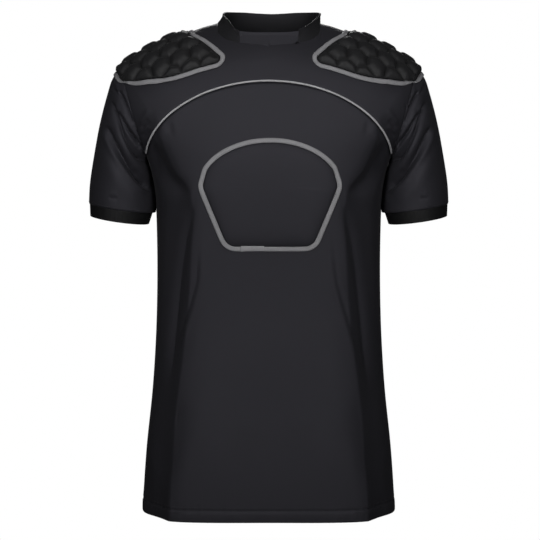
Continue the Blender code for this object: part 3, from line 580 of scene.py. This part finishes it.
neckline = findNeckline()
print("neckline spots", len(neckline), "widest", round(float(np.abs(neckline[:, 0]).max()), 4))
for piece in (yoke, back):
    easeNeck(piece, neckline, False)
easeNeck(collarBand, neckline, True)


def besideNeck(spot):
    return abs(spot[0]) > neckEase["beside"] and spot[2] > neckEase["above"]


for piece in (yoke, back):                      # the corners at the shoulder seams reach right up to the collar
    sew(piece, [collarBand], "neckCorner", besideNeck)
for piece in (front, yoke):
    flattenFront(piece)
sew(back, [front, yoke], "bodySides")
sew(back, [yoke], "shoulderEnd", lambda spot: besideNeck(spot) and spot[1] < neckEase["seam"])
necklineTree = treeOf(findNeckline())           # the neckline as it now runs
crease(front, frontPanel["folds"], -1)

yokePanel = {
    "wall": 0.0012, "flat": (0.470, 0.215), "area": 0.050,
    "folds": [
        {"line": [(0.1600, -0.1130), (0.1655, -0.1210), (0.1730, -0.1310), (0.1765, -0.1400)], "width": 0.0028,
         "depth": -0.0015, "bank": 0},
        {"line": [(0.1625, -0.1280), (0.1690, -0.1370), (0.1735, -0.1440)], "width": 0.0030,
         "depth": 0.0013, "bank": 0},
        {"line": [(0.1610, -0.1370), (0.1695, -0.1445), (0.1755, -0.1500)], "width": 0.0026,
         "depth": -0.0013, "bank": 0},
        {"line": [(0.1590, -0.1430), (0.1670, -0.1490), (0.1730, -0.1550)], "width": 0.0030,
         "depth": 0.0015, "bank": 0},
    ],
}
crease(yoke, yokePanel["folds"], -1)

backPanel = {
    "wall": 0.0012, "flat": (0.480, 0.690), "area": 0.300,
    "folds": [
        {"line": [(0.140, -0.200), (0.095, -0.270), (0.030, -0.330)], "width": 0.012, "depth": 0.0034},
        {"line": [(0.145, -0.280), (0.085, -0.350), (0.020, -0.395)], "width": 0.011, "depth": 0.0036},
        {"line": [(0.140, -0.370), (0.070, -0.430), (0.010, -0.455)], "width": 0.010, "depth": 0.0028},
        {"line": [(0.172, -0.120), (0.130, -0.190), (0.105, -0.240)], "width": 0.010, "depth": 0.0030},
        {"line": [(0.080, -0.470), (0.105, -0.640)], "width": 0.015, "depth": 0.0022},
    ],
}
crease(back, backPanel["folds"], 1)
print("body panels shaped")

sleevePiece = {
    "wall": 0.0012, "flat": (0.330, 0.190), "area": 0.052,
    "low": (0.205, 0, -0.256), "high": (0.183, 0, -0.130), "radius": 0.052,
    "leanAt": [-0.262, -0.240, -0.225, -0.200, -0.175, -0.155],
    "lean": [0.0030, 0.0056, 0.0066, 0.0054, 0.0044, 0.0010], "innerWidth": 0.034,
    "frontFolds": [
        {"line": [(0.2165, -0.080), (0.2115, -0.0905), (0.206, -0.0985)], "width": 0.0022, "depth": 0.0022,
         "round": 1.1},
        {"line": [(0.2075, -0.0885), (0.2000, -0.1013), (0.1944, -0.1138), (0.1889, -0.1262), (0.1835, -0.1370)],
         "width": 0.0024, "depth": 0.0056, "bank": 0.30, "fade": 0.16, "round": 1.1},
        {"line": [(0.2080, -0.1170), (0.2037, -0.1258), (0.1975, -0.1366), (0.1914, -0.1474), (0.1821, -0.1598),
                  (0.1729, -0.1721)], "width": 0.0023, "depth": 0.0062, "bank": 0.25, "fade": 0.16, "round": 1.1},
        {"line": [(0.2165, -0.1040), (0.2106, -0.1227), (0.2052, -0.1351), (0.1990, -0.1489), (0.1884, -0.1675),
                  (0.1806, -0.1814), (0.1699, -0.1937)], "width": 0.0025, "depth": 0.0070, "bank": 0.25, "fade": 0.14,
         "round": 1.1},
        {"line": [(0.2235, -0.1380), (0.2167, -0.1567), (0.2098, -0.1690), (0.2022, -0.1814), (0.1914, -0.1968),
                  (0.1821, -0.2122), (0.1729, -0.2246), (0.1668, -0.2354)], "width": 0.0031, "depth": 0.0076,
         "side": -1, "bank": 0.34, "fade": 0.14, "round": 1.1},
        {"line": [(0.1880, -0.1970), (0.1780, -0.2110), (0.1680, -0.2260)], "width": 0.0050, "depth": 0.0020,
         "bank": 0},
        {"line": [(0.2207, -0.2382), (0.206, -0.2384)], "width": 0.0025, "depth": 0.0008},
    ],
    "backFolds": [
        {"line": [(0.206, -0.100), (0.190, -0.128), (0.178, -0.150)], "width": 0.0050, "depth": 0.0030},
        {"line": [(0.216, -0.118), (0.196, -0.152), (0.172, -0.200)], "width": 0.0056, "depth": 0.0040},
        {"line": [(0.226, -0.150), (0.202, -0.188), (0.170, -0.236)], "width": 0.0056, "depth": 0.0036},
    ],
}
sleeves = {}
for side, sign in sides:
    sleeve = clothFrom("sleeve_" + side, "sleeve." + side, (sign, 0, 0))
    crease(sleeve, sleevePiece["frontFolds"], -1)
    crease(sleeve, sleevePiece["backFolds"], 1)
    spots = getPoints(sleeve)                   # the inside of the sleeve lies against the body
    axis = np.interp(spots[:, 2], [sleevePiece["low"][2], sleevePiece["high"][2]],
                     [sleevePiece["low"][0], sleevePiece["high"][0]])
    inner = np.clip((axis - np.abs(spots[:, 0])) / sleevePiece["innerWidth"], 0, 1)
    lean = np.interp(spots[:, 2], sleevePiece["leanAt"], sleevePiece["lean"])
    spots[:, 0] -= sign * lean * inner
    setPoints(sleeve, spots)
    sew(sleeve, [yoke, back], "sleeve")
    sleeves[side] = sleeve
armhole = {"beside": 0.16, "behind": 0.02, "frontBeside": 0.15, "frontAbove": -0.20}
sew(back, sleeves.values(), "backArmhole",
    lambda spot: abs(spot[0]) > armhole["beside"] and spot[1] > armhole["behind"])
sew(yoke, sleeves.values(), "yokeArmhole",
    lambda spot: abs(spot[0]) > armhole["beside"] and spot[1] < -armhole["behind"])
sew(front, [yoke], "frontTop",
    lambda spot: abs(spot[0]) > armhole["frontBeside"] and spot[2] > armhole["frontAbove"])
print("sleeves shaped")


def onNeckline(spot):                           # wider at the sides, where the collar has no ends
    near = collarPiece["sideNear"] if abs(spot[0]) > neckEase["beside"] else collarPiece["endNear"]
    return necklineTree.find(spot)[2] < near


collarPiece = {"wall": 0.0021, "lip": 0.0009, "lipWidth": 0.0045, "round": 0.0007, "sideNear": 0.008, "endNear": 0.0015,
               "bandFlat": (0.330, 0.049), "bandArea": 0.0102, "frontFlat": (0.085, 0.025), "frontArea": 0.0019,
               "step": 0.0042, "endAt": 32, "endSpan": 26, "riseFrom": 0.028, "riseOver": 0.022,
               "backRise": 0.0030, "backShare": 1.3, "standing": 0.018, "rimAbove": 0.012,
               "low": (0, 0, -0.03), "high": (0, 0, 0.02), "radius": 0.06}
for piece in (collarFront, collarBand):
    sew(piece, [yoke, back], "collar", onNeckline)
spots = getPoints(collarBand)                   # the band's end on the wearer's left stands over the front piece
turn = np.degrees(np.arctan2(spots[:, 0], -spots[:, 1]))
nearEnd = np.clip(1 - (turn - collarPiece["endAt"]) / collarPiece["endSpan"], 0, 1) * (turn > 0)
rise = np.clip((spots[:, 2] + collarPiece["riseFrom"]) / collarPiece["riseOver"], 0, 1)
spots[:, 2] += collarPiece["step"] * nearEnd * rise
behind = np.clip(np.cos(np.radians(turn)) * -collarPiece["backShare"], 0, 1)
standing = np.array([min(1, necklineTree.find(spot)[2] / collarPiece["standing"]) for spot in spots])
spots[:, 2] += collarPiece["backRise"] * behind * standing  # its top edge runs level behind the neck
setPoints(collarBand, spots)
for piece in (collarFront, collarBand):         # the top edge is folded over and stands out a little
    spots, out = getPoints(piece), getNormals(piece)
    rim = edgeSpots(piece, 0.001)[0]
    tree = treeOf([spot for spot in rim if necklineTree.find(spot)[2] > collarPiece["rimAbove"]])
    lip = np.array([max(0, 1 - tree.find(spot)[2] / collarPiece["lipWidth"]) for spot in spots])
    setPoints(piece, spots + out * (collarPiece["lip"] * lip * lip * (3 - 2 * lip))[:, None])

cuffPiece = {"wall": 0.0013, "flat": (0.300, 0.0195), "low": (0.205, 0, -0.275), "high": (0.205, 0, -0.255),
             "radius": 0.048}
cuffs = {side: clothFrom("cuff_" + side, "cuff." + side, (sign, 0, 0)) for side, sign in sides}
print("collar and cuffs shaped")

edgeRoll = {"depth": 0.0007, "width": 0.0030, "below": -0.062, "beside": 0.085}


def offNeck(spots):
    return (spots[:, 2] < edgeRoll["below"]) | (np.abs(spots[:, 0]) > edgeRoll["beside"])


for piece in (front, yoke, back, *sleeves.values()):
    rollEdges(piece, edgeRoll["depth"], edgeRoll["width"], offNeck)
for piece in (front, back):
    stitchHem(piece)


def plainCopy(piece):                           # the sheet before it gets its thickness, for what lies on it
    sheet = piece.copy()
    sheet.data = piece.data.copy()
    return sheet


outerFront = plainCopy(front)
outerSheets = [plainCopy(piece) for piece in (yoke, back)]
outerSleeves = {side: plainCopy(piece) for side, piece in sleeves.items()}
allowance = {                                   # how far each one reaches, and how deep it lies
    "cuff": (0.0030, 0.0012), "cuffNear": 0.0045, "cuffBeside": 0.180,
    "sleeve": (0.0070, 0.0008), "sleeveNear": 0.012, "sleeveAbove": -0.215,
    "collar": (0.0040, 0.0012), "collarSlope": 0.72,
}
bodyTree = edgeTree((yoke, back))
for side, sign in sides:
    sleeveTree = edgeTree([sleeves[side]])
    tuckEdges(cuffs[side], *allowance["cuff"], lambda spot: abs(spot[0]) > allowance["cuffBeside"]
              and sleeveTree.find(spot)[2] < allowance["cuffNear"])
    tuckEdges(sleeves[side], *allowance["sleeve"], lambda spot: spot[2] > allowance["sleeveAbove"]
              and bodyTree.find(spot)[2] < allowance["sleeveNear"])
for piece in (collarFront, collarBand):         # its upright ends get none
    tuckEdges(piece, *allowance["collar"], onNeckline, allowance["collarSlope"])
wraps = [(front, frontPanel, bodyWrap, (0, 1, 0), "front_panel"), (yoke, yokePanel, bodyWrap, (0, 1, 0), "yoke"),
         (back, backPanel, bodyWrap, (0, -1, 0), "back_panel")]
for piece, sizes, wrap, seamAt, node in wraps:
    wrapUv(piece, wrap["low"], wrap["high"], wrap["radius"], seamAt)
    thicken(piece, sizes["wall"])
    finishPiece(piece, knit, node)
for side, sign in sides:
    for piece, sizes, finish, node, slot in ((sleeves[side], sleevePiece, knit, "sleeve_" + side, "knit"),
                                             (cuffs[side], cuffPiece, cuffElastic, "cuff_" + side, "elastic")):
        low, high = [(c[0] * sign, c[1], c[2]) for c in (sizes["low"], sizes["high"])]
        wrapUv(piece, low, high, sizes["radius"], (-sign, 0, 0))
        thicken(piece, sizes["wall"])
        finishPiece(piece, finish, node)
# the band takes the darker knit, whose darkness is painted shade
for piece, node, finish, slot, flat, area in (
        (collarFront, "collar_front", knit, "knit", collarPiece["frontFlat"], collarPiece["frontArea"]),
        (collarBand, "collar_band", shadedCollarKnit, "collar_knit", collarPiece["bandFlat"], collarPiece["bandArea"])):
    seamAt = (0, 1, 0) if node == "collar_front" else (0, -1, 0)
    wrapUv(piece, collarPiece["low"], collarPiece["high"], collarPiece["radius"], seamAt)
    thicken(piece, collarPiece["wall"])
    soft = piece.modifiers.new("soft", "BEVEL")     # the folded edge is round
    soft.width, soft.segments, soft.angle_limit = collarPiece["round"], 2, math.radians(50)
    applyAll(piece)
    finishPiece(piece, finish, node)
print("cloth finished")

# grooveShadeWidth: how wide the painted shade along the grooves spreads
shoulderPad = {"fill": 0.75, "valleyAngle": 18, "lowest": 0.0060, "levels": 3, "groove": 0.0026, "top": 0.0084,
               "crown": 0.0010, "shoulderWidth": 0.0098, "roundness": 2.5, "rimWidth": 0.0140,
               "corner": (0.1985, 0.056, -0.0870), "pull": (0, -0.0075, 0.0050), "reach": 0.032,
               "clear": 0.0012, "spacing": 0.0003, "crownWidth": 0.015, "grooveShadeWidth": 0.0016}


def easeCorner(spot):                           # draws the arm end's two corners into a rounder curve
    sideSign, frontSign = math.copysign(1, spot[0]), math.copysign(1, spot[1])
    place = Vector(shoulderPad["corner"])
    place.x, place.y = place.x * sideSign, place.y * frontSign
    share = max(0, 1 - (Vector(spot) - place).length / shoulderPad["reach"])
    pull = Vector(shoulderPad["pull"])
    pull.y *= frontSign
    return Vector(spot) + pull * share * share


def clothUnder(pieces):                         # one tree of the outer sheets that a pad lies on
    corners, faces = [], []
    for piece in pieces:
        first = len(corners)
        corners += [vert.co.copy() for vert in piece.data.vertices]
        faces += [[first + index for index in face.vertices] for face in piece.data.polygons]
    return BVHTree.FromPolygons(corners, faces)


def cellPad(node, name, under):                 # foam cells: steep round edges and flat tops, with narrow grooves, marked for painted shade in the pad's colour
    pad = copyNode(node, name)
    toQuads()
    bpy.ops.object.mode_set(mode="OBJECT")
    cage = bmesh.new()
    cage.from_mesh(pad.data)
    for vert in cage.verts:
        vert.co = easeCorner(vert.co)
    cage.normal_update()
    upper = cage.verts.layers.float.new("upper")
    sharp = cage.edges.layers.float.new("crease_edge")
    above = set()
    for face in cage.faces:
        middle = face.calc_center_median()
        if face.normal.dot(middle - under.find_nearest(middle)[0]) > shoulderPad["clear"]:
            above.add(face)
            for vert in face.verts:
                vert[upper] = 1.0
    grooves, rims = [], []
    for edge in cage.edges:
        onTop = [face for face in edge.link_faces if face in above]
        heights = [(vert.co - under.find_nearest(vert.co)[0]).length for vert in edge.verts]
        valley = (len(onTop) == 2 and max(heights) < shoulderPad["lowest"]
                  and edge.calc_face_angle_signed() < -math.radians(shoulderPad["valleyAngle"]))
        if valley or len(onTop) == 1:
            edge[sharp] = 1.0
            one, other = [under.find_nearest(vert.co)[0] for vert in edge.verts]
            steps = max(2, int((other - one).length / shoulderPad["spacing"]))
            (grooves if valley else rims).extend(one.lerp(other, i / steps) for i in range(steps + 1))
    print(name, "top faces", len(above), "of", len(cage.faces), "groove spots", len(grooves), "rim", len(rims))
    cage.to_mesh(pad.data)
    cage.free()
    rounder(pad, shoulderPad["levels"])
    grooveTree, rimTree = treeOf(grooves), treeOf(rims)
    co = getPoints(pad)
    onTop = np.empty(len(co))
    pad.data.attributes["upper"].data.foreach_get("value", onTop)
    valley = np.zeros(len(co))
    reach, rounding = shoulderPad["shoulderWidth"], shoulderPad["roundness"]
    for index in range(len(co)):
        if onTop[index] > 0.98:
            spot = Vector(co[index])
            base = under.find_nearest(spot)[0]
            gapGroove, gapRim = grooveTree.find(base)[2], rimTree.find(base)[2]
            gap = min(gapGroove, gapRim)
            fromGroove = 1 - (1 - min(gapGroove / reach, 1)) ** rounding
            fromRim = 1 - (1 - min(gapRim / shoulderPad["rimWidth"], 1)) ** rounding
            low = shoulderPad["groove"]
            crown = shoulderPad["crown"] * min(gap / shoulderPad["crownWidth"], 1)
            height = low + (shoulderPad["top"] - low) * fromGroove * fromRim + crown
            co[index] = base + (spot - base).normalized() * height
            # how near a groove each point lies, kept for the pad's colour: painted shade in the grooves
            valley[index] = math.exp(-(gap / shoulderPad["grooveShadeWidth"]) ** 2)
    setPoints(pad, co)
    pad.data.attributes.remove(pad.data.attributes["upper"])
    pad.data.attributes.new("valley", "FLOAT", "POINT").data.foreach_set("value", valley)
    finishPiece(pad, padCloth, node)


for side, sign in sides:
    cellPad("shoulder_pad_" + side, "shoulderPad." + side, clothUnder(outerSheets + [outerSleeves[side]]))
print("shoulder pads finished")

chestPad = {"fill": 0.35, "levels": 2}
chest = copyNode("chest_pad", "chestPad")
toQuads()
bpy.ops.object.mode_set(mode="OBJECT")
rounder(chest, chestPad["levels"])
flattenFront(chest)
wrapUv(chest, bodyWrap["low"], bodyWrap["high"], bodyWrap["radius"], (0, 1, 0))
finishPiece(chest, knit, "chest_pad")
print("chest pad finished")


stitchLook = {"length": 0.0020, "pitch": 0.0029, "thick": 0.00052, "lift": 0.0001}


def stitchRow(name, path, finish):        # one stitch, repeated round a drawn ring
    line = bpy.data.curves.new(name + "Line", "CURVE")
    line.dimensions = "3D"
    spline = line.splines.new("POLY")
    spline.points.add(len(path) - 1)
    spline.points.foreach_set("co", np.concatenate([path, np.ones((len(path), 1))], axis=1).ravel())
    spline.use_cyclic_u = True
    guide = bpy.data.objects.new(name + "Line", line)
    bpy.context.scene.collection.objects.link(guide)
    makeActive(guide)
    bpy.ops.object.select_all(action="DESELECT")
    bpy.ops.mesh.primitive_uv_sphere_add(segments=6, ring_count=4, radius=0.5, location=(0, 0, 0))
    row = bpy.context.object
    row.name = row.data.name = name
    bpy.ops.object.mode_set(mode="EDIT")
    bpy.ops.mesh.select_all(action="SELECT")
    bpy.ops.transform.resize(value=(stitchLook["length"], stitchLook["thick"], stitchLook["thick"]))
    bpy.ops.object.mode_set(mode="OBJECT")
    repeat = row.modifiers.new("repeat", "ARRAY")
    repeat.fit_type, repeat.curve = "FIT_CURVE", guide
    repeat.use_relative_offset, repeat.use_constant_offset = False, True
    repeat.constant_offset_displace = (stitchLook["pitch"], 0, 0)
    bend = row.modifiers.new("follow", "CURVE")
    bend.object, bend.deform_axis = guide, "POS_X"
    applyAll(row)
    bpy.data.objects.remove(guide)
    bpy.data.curves.remove(line)
    finishPiece(row, finish, None)


tapeLook = {"bend": math.radians(45), "firm": 0.5, "width": 0.0062, "side": 0.0014, "rows": (0.17, 0.83),
            "lowest": 0.0003, "cornerReach": 0.036, "cornerRounds": 14}


def redrawn(co, solid, under):                  # each point keeps its height over the cloth
    for index, spot in enumerate(co):
        base, out = solid.find_nearest(spot)[:2]
        height = (Vector(spot) - base).dot(out)
        base, out = under.find_nearest(easeCorner(spot))[:2]
        co[index] = base + out * max(height, tapeLook["lowest"])
    return co


def easeRails(rails, tails):                    # the tape runs round its corners in one curve
    for side in (0, 1):
        verts = [pair[side] for pair in rails]
        start = np.array([vert.co for vert in verts])
        corner = np.array(shoulderPad["corner"])
        gaps = np.linalg.norm(np.abs(start) * [1, 1, -1] - corner, axis=1)
        near = np.clip(1 - gaps / tapeLook["cornerReach"], 0, 1)[:, None]
        spots = start.copy()
        for _ in range(tapeLook["cornerRounds"]):
            spots += near * 0.5 * ((np.roll(spots, 1, 0) + np.roll(spots, -1, 0)) / 2 - spots)
        for vert, move in zip(verts, spots - start):
            for item in [vert] + tails.get(vert, []):
                item.co += Vector(move)


def tapeRing(node, name, way, laid=None):       # the solid's ring with rounded edges, and its grid along the tape
    tape = copyNode(node, name)
    toQuads()
    bpy.ops.object.mode_set(mode="OBJECT")
    cage = bmesh.new()
    cage.from_mesh(tape.data)
    cage.normal_update()
    cage.faces.ensure_lookup_table()
    sharp = cage.edges.layers.float.new("crease_edge")
    grid = cage.loops.layers.uv.get("cloth") or cage.loops.layers.uv.new("cloth")
    for edge in cage.edges:
        edge[sharp] = tapeLook["firm"] if edge.calc_face_angle(0) > tapeLook["bend"] else 0.0
    start = max(cage.faces, key=lambda face: round(face.normal.dot(Vector(way)), 3) + face.index * 1e-7)
    step = next(item for item in start.loops if item.edge.calc_face_angle(0) < tapeLook["bend"])
    rails = []
    for _ in range(len(cage.faces)):            # face by face round the top of the tape
        rails.append((step.vert, step.link_loop_next.vert))
        step = step.link_loop_next.link_loop_next.link_loop_radial_next
        if step.face is start:
            break
    places, travelled, tails = {}, 0.0, {}
    for index, (one, other) in enumerate(rails):
        if index:
            travelled += (one.co + other.co - rails[index - 1][0].co - rails[index - 1][1].co).length / 2
        places[one], places[other] = (travelled, 0.0), (travelled, tapeLook["width"])
    for vert in cage.verts:
        if vert not in places:
            tops = [edge for edge in vert.link_edges if edge.other_vert(vert) in places]
            near = min(tops, key=lambda edge: edge.calc_length()).other_vert(vert) if tops else rails[0][0]
            along, across = places[near]
            tails.setdefault(near, []).append(vert)
            places[vert] = (along, across + tapeLook["side"] if across else -tapeLook["side"])
    for face in cage.faces:
        spots = [places[item.vert] for item in face.loops]
        furthest = max(spot[0] for spot in spots)
        for item, (along, across) in zip(face.loops, spots):
            item[grid].uv = (along + travelled if furthest - along > travelled / 2 else along, across)
    print(name, "stations", len(rails), "of", len(cage.faces), "faces, length", round(travelled, 3))
    if laid:
        easeRails(rails, tails)
    rows = [np.array([one.co.lerp(other.co, share) for one, other in rails]) for share in tapeLook["rows"]]
    cage.to_mesh(tape.data)
    cage.free()
    rounder(tape, 2)
    flattenFront(tape)
    rows = [flattened(row) for row in rows]
    if laid:
        setPoints(tape, redrawn(getPoints(tape), *laid))
        rows = [redrawn(row, *laid) for row in rows]
    finishPiece(tape, greyTape, node)
    for number, row in enumerate(rows):
        stitchRow(name + "Stitch" + str(number), row, greyThread)


tapeRing("chest_tape", "chestTape", (0, -1, 0))
for side, sign in sides:
    solid = clothUnder([frame["nodes"][node] for node in ("yoke", "back_panel", "sleeve_" + side)])
    laid = (solid, clothUnder(outerSheets + [outerSleeves[side]]))
    tapeRing("shoulder_tape_" + side, "shoulderTape." + side, (0, 0, 1), laid)
piping = copyNode("chest_piping", "chestPiping")
toQuads()
bpy.ops.object.mode_set(mode="OBJECT")
rounder(piping, 1)
flattenFront(piping)
wrapUv(piping, (0, 0, -0.2), (0, 0, 0), 0.15, (0, 1, 0))
finishPiece(piping, pipingCord, "chest_piping")
print("tapes and piping finished")

chestLap = {"from": -0.0378, "to": -0.0062, "level": -0.3031, "width": 0.0066, "corner": 0.0012, "lift": 0.0003,
            "bulge": 0.0005, "thick": 0.0008, "round": 0.0003}
surface = BVHTree.FromObject(bpy.data.objects["chestTape"], bpy.context.evaluated_depsgraph_get())
bpy.ops.object.select_all(action="DESELECT")
bpy.ops.mesh.primitive_grid_add(x_subdivisions=14, y_subdivisions=4, size=1, location=(0, 0, 0))
lap = bpy.context.object
lap.name = lap.data.name = "chestTapeLap"
co = getPoints(lap)
share, aside = co[:, 0] + 0.5, co[:, 1]
co[:, 0] = chestLap["from"] + (chestLap["to"] - chestLap["from"]) * share
co[:, 2] = chestLap["level"] + chestLap["width"] * aside - chestLap["corner"] * (aside < -0.4) * (1 - share) ** 4
for index, spot in enumerate(co):               # laid on the tape's own face
    hit = surface.ray_cast(Vector((spot[0], -0.3, chestLap["level"])), Vector((0, 1, 0)))[0]
    co[index][1] = hit.y - chestLap["lift"] - chestLap["bulge"] * (1 - (2 * aside[index]) ** 2)
setPoints(lap, co)
for kind, settings in (("SOLIDIFY", {"thickness": chestLap["thick"], "offset": 1.0}),
                       ("BEVEL", {"width": chestLap["round"], "segments": 2})):
    change = lap.modifiers.new(kind.lower(), kind)
    for name, value in settings.items():
        setattr(change, name, value)
applyAll(lap)
wrapUv(lap, (0, 0, -0.4), (0, 0, -0.2), 0.15, (0, 1, 0))
finishPiece(lap, greyTape, None)


def snapped(path, sheet):                       # a drawn line laid on the cloth
    tree = clothUnder([sheet])
    laid = []
    for spot in path:
        base, out = tree.find_nearest(spot)[:2]
        laid.append(base + out * stitchLook["lift"])
    return np.array(laid)


hemTree = clothUnder([outerFront, outerSheets[1]])
for number, lift in enumerate(hemFold["rows"]):
    level = hemFold["level"] + hemFold["depth"] + lift
    ring = []
    for step in range(hemFold["steps"]):
        turn = 2 * math.pi * step / hemFold["steps"]
        way = Vector((math.sin(turn), -math.cos(turn), 0))
        hit = hemTree.ray_cast(Vector((0, 0, level)), way)[0]
        if hit:
            ring.append(hit + way * stitchLook["lift"])
    stitchRow("hemStitch" + str(number), np.array(ring), darkThread)
cuffRow = {"spacing": 0.003, "within": 0.022, "inset": 0.0032}
for side, sign in sides:
    low, high = [Vector((c[0] * sign, c[1], c[2])) for c in (sleevePiece["low"], sleevePiece["high"])]
    axis = (high - low).normalized()
    rim = edgeSpots(outerSleeves[side], cuffRow["spacing"])[0]
    spots = [spot for spot in rim if (Vector(spot) - low) @ axis < cuffRow["within"]]
    forward = Vector((0, -1, 0))
    sideways = axis.cross(forward)
    spots.sort(key=lambda spot: math.atan2((Vector(spot) - low) @ sideways, (Vector(spot) - low) @ forward))
    ring = [Vector(spot) + axis * cuffRow["inset"] for spot in spots]
    stitchRow("cuffStitch." + side, snapped(ring, outerSleeves[side]), darkThread)
print("stitching finished")

studio = {"target": (0.0018, 0, -0.343), "distance": 3.5, "elevation": 5.5, "lens": 166.7, "floor": -1.25,
          "floorRadius": 2.4, "floorGlow": 0.62, "paper": 0.98, "fill": 0.02}
camera = bpy.data.objects.new("camera", bpy.data.cameras.new("camera"))
bpy.context.scene.collection.objects.link(camera)
tilt = math.radians(studio["elevation"])
camera.location = Vector(studio["target"]) + Vector((0, -math.cos(tilt), math.sin(tilt))) * studio["distance"]
camera.rotation_euler = (math.pi / 2 - tilt, 0, 0)
camera.data.lens, camera.data.sensor_width = studio["lens"], 36
camera.data.clip_end = 60
bpy.context.scene.camera = camera


def softbox(name, place, aim, size, power, spread):
    lamp = bpy.data.objects.new(name, bpy.data.lights.new(name, "AREA"))
    lamp.data.shape, lamp.data.size, lamp.data.size_y, lamp.data.energy = "RECTANGLE", size[0], size[1], power
    lamp.location = place
    lamp.rotation_euler = (Vector(aim) - Vector(place)).to_track_quat("-Z", "Y").to_euler()
    lamp.data.spread = math.radians(spread)
    lamp.visible_camera = False
    bpy.context.scene.collection.objects.link(lamp)


softbox("leftSoftbox", (-1.10, -2.70, 0.45), (0, 0, 0.02), (0.8, 1.3), 3.4, 52)
softbox("rightSoftbox", (1.10, -2.70, 0.45), (0, 0, 0.02), (0.8, 1.3), 3.3, 52)
softbox("highSoftbox", (0.0, -1.5, 2.1), (0, -0.05, -0.05), (1.4, 0.9), 1.6, 70)
softbox("backSoftbox", (0.0, 3.2, 0.5), (0, 0, -0.25), (0.8, 1.2), 10, 60)

makeActive(camera)
bpy.ops.mesh.primitive_circle_add(vertices=96, radius=studio["floorRadius"], fill_type="NGON",
                                 location=(0, 0, studio["floor"]))
floor = bpy.context.object
floor.name = "studioFloor"
floorFinish, floorShader, floorWire = newFinish("paleFloor", {"Roughness": 0.8,
                                                                "Emission Strength": studio["floorGlow"]})
floorTone = mottle(floorWire, 1.5).tint((0.80, 0.80, 0.80), (0.86, 0.86, 0.86))
plug(floorTone, floorShader, "Base Color")
plug(floorTone, floorShader, "Emission Color")
floor.visible_diffuse = floor.visible_glossy = False    # the floor throws no light up at the cloth
floor.data.materials.append(floorFinish)

scene = bpy.context.scene
scene.view_settings.view_transform = "Standard"
world = scene.world or bpy.data.worlds.new("studio")
scene.world = world
world.use_nodes = True
sky = Wire(world.node_tree)
background = world.node_tree.nodes["Background"]
seen = sky.node("ShaderNodeLightPath", None, None, 0)
glow = seen * studio["paper"] + studio["fill"]  # white paper behind, and little of it on the cloth
world.node_tree.links.new(glow.socket, background.inputs["Strength"])
background.inputs["Color"].default_value = (1, 1, 1, 1)
print("studio set")

for sheet in (outerFront, *outerSheets, *outerSleeves.values()):
    bpy.data.objects.remove(sheet)
